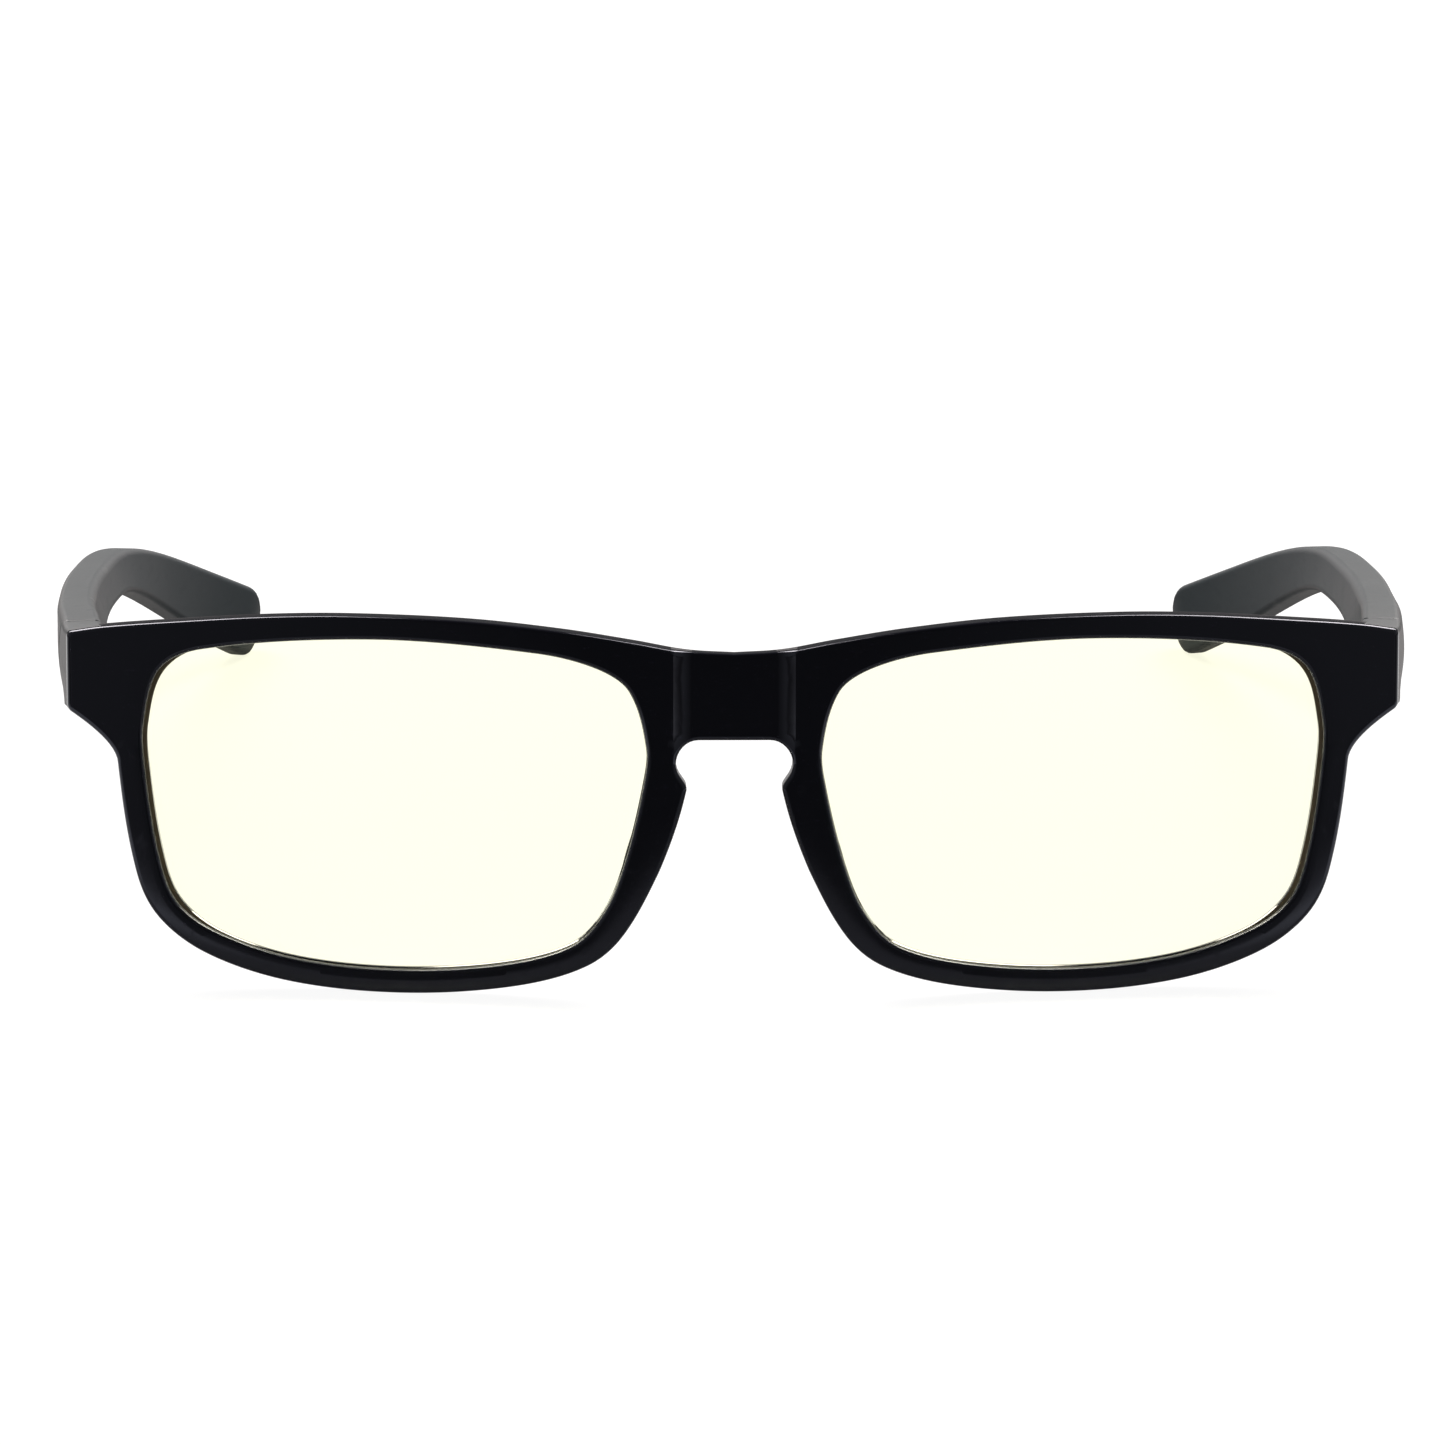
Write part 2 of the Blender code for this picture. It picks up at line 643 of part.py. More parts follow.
def hinge_screw(name, surface, parent, side, parts):
    """Turned pin with a domed head, its foot flush with the lowest barrel."""
    seat = HINGE_TOP + SCREW_CLEARANCE
    profile = [(0.0, seat + SCREW_HEAD_HEIGHT)]
    for step in range(1, DOME_STEPS + 1):
        turn = math.pi / 2 * step / DOME_STEPS
        height = blend(0.5, 1.0, math.cos(turn)) * SCREW_HEAD_HEIGHT
        profile.append((SCREW_HEAD_RADIUS * math.sin(turn), seat + height))
    profile += [
        (SCREW_HEAD_RADIUS, seat),
        (SCREW_RADIUS, seat),
        (SCREW_RADIUS, HINGE_BOTTOM),
        (0.0, HINGE_BOTTOM),
    ]
    bm = bmesh.new()
    verts = [bm.verts.new((x, 0, z)) for x, z in profile]
    for first, second in zip(verts, verts[1:]):
        bm.edges.new((first, second))
    screw = finish(bm, name, parts, surface, parent, side)
    turn = screw.modifiers.new("turned", "SCREW")
    turn.steps = CIRCLE_SIDES
    turn.render_steps = CIRCLE_SIDES
    turn.use_merge_vertices = True
    turn.merge_threshold = 0.00001
    return screw


def temple_path(length):
    """Middle of the temple at each step back from the hinge: (place, outward direction, upward direction)."""
    fine = 400
    step = length / fine
    spot = Vector(((TEMPLE_INNER + TEMPLE_OUTER) / 2, BUTT_GAP / 2, 0))
    path = []
    for index in range(fine + 1):
        travelled = index * step
        bow = TEMPLE_BOW_TURN * min(travelled / TEMPLE_BEND_START, 1.0) ** TEMPLE_BOW_EASE
        curl = TEMPLE_TIP_TURN * smoothstep(travelled, TEMPLE_BEND_START, TEMPLE_LENGTH)
        turn = bow + curl
        drop = TEMPLE_BEND_DROP * smoothstep(
            travelled, TEMPLE_BEND_START, TEMPLE_BEND_START + TEMPLE_BEND_LENGTH
        )
        along = Vector((-math.sin(turn) * math.cos(drop), math.cos(turn) * math.cos(drop), -math.sin(drop)))
        outward = Vector((math.cos(turn), math.sin(turn), 0))
        path.append((spot.copy(), outward, outward.cross(along)))
        spot += along * step
    return path


def crown_inset(height, full_height):
    """How far the bowed outer face lies inside its outermost line, at a height over its middle."""
    return (height - TEMPLE_CROWN_RISE * full_height) ** 2 / (2 * TEMPLE_CROWN_RADIUS)


def section(place, outward, upward, thickness, height, corner, slant, crowned=False):
    """Rounded slanted rectangle across the temple, with a bowed outer face or a flat one."""
    flat = []
    centres = ((1, 1, 0), (-1, 1, 1), (-1, -1, 2), (1, -1, 3))
    for right, up, quarter in centres:
        for step in range(SECTION_CORNER_STEPS):
            turn = math.pi / 2 * (quarter + step / (SECTION_CORNER_STEPS - 1))
            x = right * (thickness / 2 - corner) + corner * math.cos(turn)
            z = up * (height / 2 - corner) + corner * math.sin(turn)
            flat.append((x, z))
    if crowned:
        straight = height / 2 - corner
        for step in range(1, CROWN_STEPS):
            flat.append((thickness / 2, blend(-straight, straight, step / CROWN_STEPS)))
    points = []
    for x, z in flat:
        inset = crown_inset(z, height) * (0.5 + x / thickness) if crowned else 0.0
        points.append(place + outward * (x - inset + slant * z) + upward * z)
    return points


def temple_size(travelled):
    """Thickness, height and slant of the temple: slim at the waist, fuller again behind the ear."""
    waist = smoothstep(travelled, 0, TEMPLE_WAIST_START)
    tip = smoothstep(travelled, TEMPLE_BEND_START, TEMPLE_LENGTH)
    thickness = blend(blend(TEMPLE_THICKNESS, TEMPLE_WAIST_THICKNESS, waist), TEMPLE_TIP_THICKNESS, tip)
    height = blend(blend(TEMPLE_HEIGHT, TEMPLE_WAIST_HEIGHT, waist), TEMPLE_TIP_HEIGHT, tip)
    return thickness, height, TEMPLE_LEAN * waist * (1 - tip) / height


def temple_station(path, travelled):
    """Middle, outward direction, upward direction and sizes of the temple, some way back from the hinge."""
    spot, outward, upward = path[round((len(path) - 1) * travelled / TEMPLE_LENGTH)]
    thickness, height, slant = temple_size(travelled)
    return spot - outward * slant * height / 2, outward, upward, thickness, height, slant


def temple_solid():
    path = temple_path(TEMPLE_LENGTH)
    straight = TEMPLE_LENGTH - TEMPLE_TIP_ROUND
    stops = [straight * step / TEMPLE_STEPS for step in range(TEMPLE_STEPS)]
    turns = [math.pi / 2 * step / TIP_STEPS for step in range(TIP_STEPS)]
    stops += [straight + TEMPLE_TIP_ROUND * math.sin(turn) for turn in turns]
    shrink = [1.0] * TEMPLE_STEPS + [math.cos(turn) for turn in turns]
    rings = []
    for travelled, share in zip(stops, shrink):
        spot, outward, upward, thickness, height, slant = temple_station(path, travelled)
        size = (thickness * share, height * share)
        corner = min(TEMPLE_EDGE_ROUND, TEMPLE_EDGE_SHARE * size[0])
        rings.append(section(spot, outward, upward, *size, corner, slant, crowned=True))
    bm = bmesh.new()
    loft(bm, rings)
    return bm


def core_solid(clearance):
    """Strip that lies along the hinge leaf and then runs down the middle of the temple."""
    path = temple_path(TEMPLE_LENGTH)
    aside = LEAF_OUTER + CORE_LEAF_GAP + CORE_THICKNESS / 2 - (TEMPLE_INNER + TEMPLE_OUTER) / 2
    thickness = CORE_THICKNESS + 2 * clearance
    height = CORE_HEIGHT + 2 * clearance
    rings = []
    for step in range(CORE_STEPS + 1):
        travelled = blend(CORE_START, CORE_END, step / CORE_STEPS)
        spot, outward, upward, _, _, slant = temple_station(path, travelled)
        shift = aside * (1 - smoothstep(travelled, TEMPLE_LEAF_LENGTH, CORE_SETTLE))
        past_end = clearance * ((step == CORE_STEPS) - (step == 0))
        place = spot + outward * shift + upward.cross(outward) * past_end
        rings.append(section(place, outward, upward, thickness, height, thickness / 4, slant))
    bm = bmesh.new()
    loft(bm, rings)
    return bm


def barrel_relief(parent, side, name, cutters):
    bm = bmesh.new()
    upright_cylinder(bm, KNUCKLE_RADIUS + HINGE_CLEARANCE, -TEMPLE_HEIGHT, TEMPLE_HEIGHT)
    return finish(bm, f"hinge_relief_{name}", cutters, None, parent, side)


def leaf_pocket(way, parent, side, name, cutters):
    bm = bmesh.new()
    leaf_plate(bm, way, HINGE_CLEARANCE)
    return finish(bm, name, cutters, None, parent, side)


def empty(name, home, parent=None):
    made = bpy.data.objects.new(name, None)
    home.objects.link(made)
    made.parent = parent
    return made


def lean_back(root, objects):
    """Turns the glasses about X until rims and temple tips stand on z = 0, centred on the origin."""
    bpy.context.view_layer.update()
    graph = bpy.context.evaluated_depsgraph_get()
    clouds = []
    for obj in objects:
        evaluated = obj.evaluated_get(graph)
        mesh = evaluated.to_mesh()
        clouds.append([evaluated.matrix_world @ vert.co for vert in mesh.vertices])
        evaluated.to_mesh_clear()
    front, temple = clouds
    lean = 0.0
    for _ in range(12):
        def height(point):
            return point.z * math.cos(lean) - point.y * math.sin(lean)

        rim, tip = min(front, key=height), min(temple, key=height)
        lean = math.atan2(tip.z - rim.z, tip.y - rim.y)
    turn = Matrix.Rotation(-lean, 3, "X")
    turned = [turn @ point for point in front + temple]
    ends = [point.y for point in turned]
    root.rotation_euler = (-lean, 0, 0)
    root.location = (0, -(min(ends) + max(ends)) / 2, -min(point.z for point in turned))


def build():
    clear_scene()
    parts = collection("blue_light_glasses")
    cutters = collection("cutters")
    root = empty("table_lean", parts)

    black = material("gloss_black_moulding", (0.006, 0.006, 0.009), 0.22)
    soft = material("soft_touch_grey", (0.035, 0.042, 0.046), 0.6)
    clear = material("pale_yellow_lens", (0.98, 0.97, 0.86), 0.03, alpha=0.25)
    steel = material("hinge_steel", (0.55, 0.55, 0.56), 0.3, 1.0)
    spring = material("core_steel", (0.42, 0.42, 0.43), 0.4, 1.0)

    front = finish(front_half(), "front_frame", parts, black, root)
    mirror = front.modifiers.new("both halves", "MIRROR")
    mirror.merge_threshold = 0.00001
    bevel = front.modifiers.new("rounded edges", "BEVEL")
    bevel.width = FRONT_EDGE_ROUND
    bevel.segments = 2
    bevel.limit_method = "WEIGHT"
    bevel.use_clamp_overlap = False
    boolean(front, finish(saddle_cutter(), "saddle_recess", cutters, None, root), "DIFFERENCE")

    temples = []
    for side, name in ((-1, "left"), (1, "right")):
        groove = finish(lens_solid(LENS_CLEARANCE), f"lens_groove_{name}", cutters, None, root, side)
        boolean(front, groove, "DIFFERENCE")
        finish(lens_solid(0.0), f"lens_{name}", parts, clear, root, side)
        finish(nose_pad(), f"nose_pad_{name}", parts, black, root, side)

        axis = empty(f"hinge_axis_{name}", parts, root)
        place = hinge_place()
        axis.location = (side * place.x, place.y, place.z)
        axis.rotation_euler = (0, 0, -side * TEMPLE_SPLAY)

        hinge_leaf(-1, f"hinge_front_leaf_{name}", steel, axis, side, parts, cutters)
        hinge_leaf(1, f"hinge_temple_leaf_{name}", steel, axis, side, parts, cutters)
        hinge_screw(f"hinge_screw_{name}", steel, axis, side, parts)
        relief = barrel_relief(axis, side, name, cutters)
        boolean(front, relief, "DIFFERENCE")
        boolean(front, leaf_pocket(-1, axis, side, f"front_leaf_pocket_{name}", cutters), "DIFFERENCE")

        temple = finish(temple_solid(), f"temple_{name}", parts, soft, axis, side)
        boolean(temple, relief, "DIFFERENCE")
        boolean(temple, leaf_pocket(1, axis, side, f"temple_leaf_pocket_{name}", cutters), "DIFFERENCE")
        channel = finish(core_solid(CORE_CLEARANCE), f"core_channel_{name}", cutters, None, axis, side)
        boolean(temple, channel, "DIFFERENCE")
        finish(core_solid(0.0), f"temple_core_{name}", parts, spring, axis, side)
        temples.append(temple)

    lean_back(root, (front, temples[1]))


build()
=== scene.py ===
"""Looks of a pair of full-rim glasses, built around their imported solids.

Every piece is drawn with the front upright, facing -Y, for the right-hand side. It is then mirrored
where it is for the left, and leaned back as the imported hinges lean.
"""

import json
import math
import bmesh
import bpy
from bpy.props import FloatProperty, FloatVectorProperty, IntProperty, PointerProperty
from mathutils import Matrix, Vector


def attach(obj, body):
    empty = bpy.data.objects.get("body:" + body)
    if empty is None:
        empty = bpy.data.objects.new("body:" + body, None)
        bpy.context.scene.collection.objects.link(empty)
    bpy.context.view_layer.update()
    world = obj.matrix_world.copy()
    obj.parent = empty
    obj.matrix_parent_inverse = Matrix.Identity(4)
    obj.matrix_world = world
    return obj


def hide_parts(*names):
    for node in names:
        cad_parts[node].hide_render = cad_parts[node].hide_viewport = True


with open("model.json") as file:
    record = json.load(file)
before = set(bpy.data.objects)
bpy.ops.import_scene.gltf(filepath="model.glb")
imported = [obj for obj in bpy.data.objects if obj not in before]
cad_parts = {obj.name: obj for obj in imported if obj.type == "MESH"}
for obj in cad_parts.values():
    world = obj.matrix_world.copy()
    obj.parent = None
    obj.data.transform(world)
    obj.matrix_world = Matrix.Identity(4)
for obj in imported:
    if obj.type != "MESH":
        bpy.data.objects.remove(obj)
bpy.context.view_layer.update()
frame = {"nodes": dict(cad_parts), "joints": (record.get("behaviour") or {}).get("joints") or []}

bl_info = {
    "name": "Folding glasses",
    "version": (1, 0, 0),
    "blender": (4, 5, 0),
    "location": "View3D > Sidebar > Glasses",
    "description": "Builds the pieces of a pair of folding glasses, and a stage for them",
    "category": "Add Mesh",
}

MM = 0.001
SIDES = ((-1, "left"), (1, "right"))

# Distances too small to matter, and steps of the searches along curves
TINY = 1e-12
CUT_GAP = 1e-8
WELD_GAP = 1e-7
MIRROR_GAP = 1e-6
SEARCH_STEPS = 40
FINE_STEPS = 40

# Lens openings
LENS_WIDTH = 52.4 * MM
LENS_HEIGHT = 34.9 * MM
LENS_GAP = 18.5 * MM
LENS_THICKNESS = 2.0 * MM
LENS_RADIUS = 265 * MM
LENS_BEVEL = 0.7 * MM
LENS_FIT = 0.06 * MM
BEZEL_EASE = 0.5 * MM
BEZEL_EASE_RUN = (0.25, 0.9)
BEZEL_EASE_LEAST = 0.08
LENS_CREASE = math.radians(25)

# Rings of points on the face of a lens, as shares of the way from its middle to its edge
LENS_RINGS = (0.03, 0.12, 0.25, 0.4, 0.55, 0.7, 0.83, 0.93, 1.0)

# Moulded front
FRONT_DEPTH = 3.6 * MM
FRONT_RADIUS = 330 * MM
FRONT_CREASE = math.radians(40)
SHADE_CREASE = math.radians(38)
RIM_SIDE = 3.3 * MM
RIM_TOP = 2.5 * MM
BEZEL_DEPTH = 1.0 * MM
END_PIECE_REACH = 5.2 * MM
END_PIECE_HEIGHT = 8.2 * MM
END_PIECE_DROP = 2.2 * MM
END_WALL_DROP = 1.6 * MM
END_WALL_MARGIN = 0.1
END_PIECE_DEPTH = 8.7 * MM
END_PIECE_FLARE = math.radians(9.93)
BRIDGE_DROP = 3.9 * MM
SADDLE_WIDTH = 12.2 * MM
SADDLE_RECESS = 0.9 * MM
SADDLE_FILLET = 1.7 * MM
SADDLE_FADE = 0.6 * MM
SADDLE_STEPS = 14
KEYHOLE_WIDTH = 12.25 * MM
KEYHOLE_RADIUS = 2.4 * MM
KEYHOLE_TOP = 7.0 * MM
KEYHOLE_DROP = 4.4 * MM
KEYHOLE_WEB = 1.5 * MM
NOTCH_REACH = 1.35 * MM
LOBE_START_TURN = math.radians(-35)
LOBE_START_SHARE = 0.25

# Nose pads
PAD_LENGTH = 13.0 * MM
PAD_WIDTH = 2.8 * MM
PAD_DEPTH = 4.6 * MM
PAD_SPLAY = 0.05
PAD_INSET = 2.0 * MM
PAD_BOND = 0.25 * MM
PAD_MIDDLE_HEIGHT = -5.0 * MM
PAD_SIDES, PAD_RINGS = 64, 48

# Hinges
KNUCKLE_COUNT = 5
KNUCKLE_RADIUS = 1.4 * MM
KNUCKLE_HEIGHT = 1.1 * MM
KNUCKLE_GAP = 0.2 * MM
LEAF_THICKNESS = 1.1 * MM
TEMPLE_LEAF_LENGTH = 7.0 * MM
FRONT_LEAF_LENGTH = 5.6 * MM
LEAF_SINK = 0.4 * MM
LEAF_INSET = 0.1 * MM
HINGE_CLEARANCE = 0.25 * MM
HINGE_DROP = 0.5 * MM
SCREW_RADIUS = 0.6 * MM
SCREW_CLEARANCE = 0.12 * MM
SCREW_HEAD_RADIUS = 1.15 * MM
SCREW_HEAD_HEIGHT = 0.7 * MM
DOME_START = 0.5
DOME_STEPS = 8
SLOT_TURN = 0.6
WEB_START = 0.6
WEB_MARGIN = 0.05 * MM
METAL_SEGMENTS = 2

# Temples
TEMPLE_LENGTH = 134 * MM
TEMPLE_HEIGHT = 8.4 * MM
TEMPLE_THICKNESS = 4.6 * MM
TEMPLE_WAIST_HEIGHT = 4.05 * MM
TEMPLE_WAIST_THICKNESS = 4.1 * MM
TEMPLE_TIP_HEIGHT = 8.5 * MM
TEMPLE_TIP_THICKNESS = 3.2 * MM
TEMPLE_TIP_ROUND = 5.0 * MM
TEMPLE_EDGE_ROUND = 0.8 * MM
TEMPLE_EDGE_SHARE = 0.4
TEMPLE_CROWN_RADIUS = 17 * MM
TEMPLE_CROWN_RISE = 0.1
TEMPLE_LEAN = 1.65 * MM
TEMPLE_SPLAY = math.radians(5.15)
TEMPLE_BOW_TURN = math.radians(7.4)
TEMPLE_BOW_EASE = 2.5
TEMPLE_TIP_TURN = math.radians(24.3)
TEMPLE_BEND_REACH = 68.7 * MM
TEMPLE_BEND_LENGTH = 52.3 * MM
TEMPLE_BEND_DROP = math.radians(17.86)
TEMPLE_WAIST_START = 46 * MM
BUTT_GAP = 0.3 * MM
BUTT_EASE = 0.2 * MM
PATH_STEPS = 1200
TIP_STEPS = 18
CORNER_STEPS = 6
CROWN_STEPS = 8

# Floor, in metres: pairs are where its brightness in the gloss starts and ends to change
FLOOR_SIZE = (1.2, 0.95, 1)
FLOOR_PLACE = (0, 0.5, -0.2 * MM)
FLOOR_NEAR = (0.3, 0.5)
FLOOR_BEFORE = (0.06, 0.1)
FLOOR_BESIDE = (0.08, 0.11)
FLOOR_BESIDE_END = (0.2, 0.3)

# Backdrop: brightness in the middle, gains to the sides with start and end, brightness as a light
BACKDROP_MIDDLE = 0.08
BACKDROP_SIDES = ((0.09, 0.1, 0.35), (0.24, 0.4, 1.0))
BACKDROP_LIGHT = 0.08

# Lamp behind the glasses on the right, in metres
LAMP_PLACE = (0.32, 0.50, 0.58)
LAMP_AIM = (0.03, 0, 0.03)
LAMP_SIZE = (0.40, 0.45)
LAMP_COLOUR = (1.0, 0.94, 0.92)

# Camera: the bridge in metres and in pixels of the picture, the sensor in millimetres
BRIDGE_PLACE = (0, 3.5 * MM, 0)
BRIDGE_PIXEL = (734, 803)
PICTURE_SIZE = 1445
SENSOR_WIDTH = 36
CLIP_START = 0.05

# Stations round one half of the front
STATIONS = {
    "brow": 90,
    "end_top": 6,
    "end_side": 13,
    "end_under": 7,
    "end_foot": 6,
    "rim": 150,
    "lobe": 14,
    "arch": 8,
    "plane": 10,
}

# Lens opening, from -1 to 1 across its width and its height, clockwise from the nasal top corner
OPENING = (
    (-0.930, 0.700), (-0.800, 0.835), (-0.560, 0.925), (0.100, 1.000),
    (0.800, 0.920), (0.940, 0.780), (1.000, 0.470), (0.999, 0.235),
    (0.945, -0.315), (0.873, -0.607), (0.709, -0.802), (0.403, -0.946),
    (-0.016, -1.000), (-0.436, -0.957), (-0.700, -0.845), (-0.825, -0.655),
    (-0.910, -0.350), (-0.985, 0.110), (-1.000, 0.350),
)
BROW_END, END_TOP_END, END_SIDE_END, END_UNDER_END, NOTCH_START = 4, 5, 6, 7, 15
UNDER_ELBOW = 0.4

# Top edge of the front: share of the half width, and drop below the highest point of the brow
BROW_LINE = (
    (0.00, BRIDGE_DROP),
    (0.07, BRIDGE_DROP - 0.3 * MM),
    (0.15, 2.6 * MM),
    (0.26, 1.4 * MM),
    (0.40, 0.4 * MM),
    (0.57, 0.0 * MM),
    (0.70, 0.2 * MM),
    (0.85, 0.95 * MM),
)

LENS_MIDDLE = LENS_GAP / 2 + LENS_WIDTH / 2
BROW_TOP = LENS_HEIGHT / 2 + RIM_TOP
HALF_WIDTH = LENS_GAP / 2 + LENS_WIDTH + RIM_SIDE + END_PIECE_REACH
END_PIECE_TOP = BROW_TOP - END_PIECE_DROP
HINGE_HEIGHT = KNUCKLE_COUNT * KNUCKLE_HEIGHT + (KNUCKLE_COUNT - 1) * KNUCKLE_GAP
HINGE_TOP = HINGE_HEIGHT / 2 - HINGE_DROP
HINGE_BOTTOM = HINGE_TOP - HINGE_HEIGHT
LEAF_OUTER = KNUCKLE_RADIUS - LEAF_INSET
LEAF_INNER = LEAF_OUTER - LEAF_THICKNESS
LEAF_START = KNUCKLE_RADIUS + HINGE_CLEARANCE
TEMPLE_INNER = LEAF_OUTER - LEAF_SINK
TEMPLE_OUTER = TEMPLE_INNER + TEMPLE_THICKNESS
TEMPLE_BEND_START = TEMPLE_LENGTH - TEMPLE_BEND_REACH


def smoothstep(value, low, high):
    share = min(max((value - low) / (high - low), 0.0), 1.0)
    return share * share * (3 - 2 * share)


def blend(first, second, share):
    return first + (second - first) * share


def spline(points, place, closed):
    """Point at a place along a smooth curve. Whole places are the points it goes through."""
    count = len(points)
    index = math.floor(place)
    if not closed:
        index = min(index, count - 2)
    share = place - index

    def at(step):
        return Vector(points[step % count] if closed else points[min(max(step, 0), count - 1)])

    before, start, end, after = (at(index + step) for step in (-1, 0, 1, 2))
    chord = (end - start).length
    leave = (end - before) * (chord / max((start - before).length + chord, TINY))
    arrive = (after - start) * (chord / max((after - end).length + chord, TINY))
    s2, s3 = share * share, share**3
    return (
        start * (2 * s3 - 3 * s2 + 1)
        + leave * (s3 - 2 * s2 + share)
        + end * (3 * s2 - 2 * s3)
        + arrive * (s3 - s2)
    )


def opening_point(place):
    unit = spline(OPENING, place, closed=True)
    return Vector((LENS_MIDDLE + unit.x * LENS_WIDTH / 2, unit.y * LENS_HEIGHT / 2))


def opening_normal(place):
    """Direction away from the lens, in the plane of the front."""
    step = 0.02
    along = opening_point(place + step) - opening_point(place - step)
    return Vector((-along.y, along.x)).normalized()


def nasal_place(height):
    """Place on the nasal side of the opening at a height over the middle of the lens."""
    low, high = NOTCH_START, len(OPENING)
    for _ in range(SEARCH_STEPS):
        middle = (low + high) / 2
        if opening_point(middle).y < height:
            low = middle
        else:
            high = middle
    return low


NOTCH_PLACE = nasal_place(KEYHOLE_TOP - KEYHOLE_DROP)


def evenly(curve, start, end, count):
    """Places on a curve from start up to, but not at, end, with equal distances between them."""
    fine = FINE_STEPS * count
    places = [blend(start, end, step / fine) for step in range(fine + 1)]
    points = [curve(place) for place in places]
    travelled = [0.0]
    for first, second in zip(points, points[1:]):
        travelled.append(travelled[-1] + (second - first).length)
    found = []
    index = 0
    for step in range(count):
        wanted = travelled[-1] * step / count
        while travelled[index + 1] < wanted:
            index += 1
        share = (wanted - travelled[index]) / (travelled[index + 1] - travelled[index])
        found.append(blend(places[index], places[index + 1], share))
    return found


def front_sag(x):
    """How far the curved front lies behind its foremost line, at a distance from the middle."""
    return x * x / (2 * FRONT_RADIUS)


def lens_sag(x, z):
    """Depth of the ball-shaped front face of the lens."""
    off = x - LENS_MIDDLE
    edge_mean = ((LENS_WIDTH / 2) ** 2 + (LENS_HEIGHT / 2) ** 2) / (4 * LENS_RADIUS)
    follow = off * LENS_MIDDLE / FRONT_RADIUS + front_sag(LENS_MIDDLE)
    seat = (FRONT_DEPTH - LENS_THICKNESS) / 2 - edge_mean + (LENS_WIDTH / 2) ** 2 / (4 * FRONT_RADIUS)
    return follow + seat + (off * off + z * z) / (2 * LENS_RADIUS)


def hinge_place():
    """Foot of the hinge axis behind the right end-piece, in the plan of the upright front."""
    corner = Vector((HALF_WIDTH, front_sag(HALF_WIDTH)))
    back = corner + END_PIECE_DEPTH * Vector((math.sin(END_PIECE_FLARE), math.cos(END_PIECE_FLARE)))
    across = Vector((math.cos(TEMPLE_SPLAY), -math.sin(TEMPLE_SPLAY)))
    foot = back - TEMPLE_OUTER * across
    return Vector((foot.x, foot.y, END_PIECE_TOP - END_PIECE_HEIGHT / 2))


HINGE = Matrix.Translation(hinge_place()) @ Matrix.Rotation(-TEMPLE_SPLAY, 4, "Z")


def upright_to_table():
    """Lean of the glasses as they stand on the table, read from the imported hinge."""
    joint = next(item for item in frame["joints"] if item["name"] == "right_temple_fold")
    axis = Vector(joint["axis"])
    turn = Matrix.Rotation(-math.atan2(axis.y, axis.z), 4, "X")
    return Matrix.Translation(Vector(joint["pos_m"]) - turn @ hinge_place()) @ turn


TABLE = upright_to_table()


def end_wall():
    """How far from the middle the inner wall of the end-piece meets the back of the rim."""
    corner = HINGE @ Vector((TEMPLE_INNER, 0, 0))
    return corner.x - (corner.y - front_sag(corner.x) - FRONT_DEPTH) * math.tan(TEMPLE_SPLAY)


def brow_point(place):
    ends = ((end_wall() / HALF_WIDTH, END_WALL_DROP), (1.0, END_PIECE_DROP))
    share, drop = spline(BROW_LINE + ends, place, closed=False)
    return Vector((share * HALF_WIDTH, BROW_TOP - drop))


def rim_point(place):
    """Outer edge of the rim below the end-piece, wider towards the notch over the nose."""
    normal = opening_normal(place)
    side = RIM_SIDE + NOTCH_REACH * smoothstep(place, NOTCH_START, NOTCH_PLACE)
    return opening_point(place) + Vector((normal.x * side, normal.y * RIM_TOP))


def under_point(share):
    """Concave underside of the end-piece, from its lower corner into the rim."""
    corner = Vector((HALF_WIDTH, END_PIECE_TOP - END_PIECE_HEIGHT))
    foot = rim_point(END_UNDER_END)
    elbow = Vector((foot.x, blend(foot.y, corner.y, UNDER_ELBOW)))
    return corner * (1 - share) ** 2 + elbow * 2 * share * (1 - share) + foot * share**2


def lobe_point(share):
    """From the notch over the nose round the lobe of the keyhole to its flat top."""
    notch = rim_point(NOTCH_PLACE)
    centre = Vector((KEYHOLE_WIDTH / 2 - KEYHOLE_RADIUS, KEYHOLE_TOP - KEYHOLE_RADIUS))
    round_share = max(share - LOBE_START_SHARE, 0) / (1 - LOBE_START_SHARE)
    turn = blend(LOBE_START_TURN, math.pi / 2, round_share)
    on_lobe = centre + KEYHOLE_RADIUS * Vector((math.cos(turn), math.sin(turn)))
    return blend(notch, on_lobe, min(share / LOBE_START_SHARE, 1))


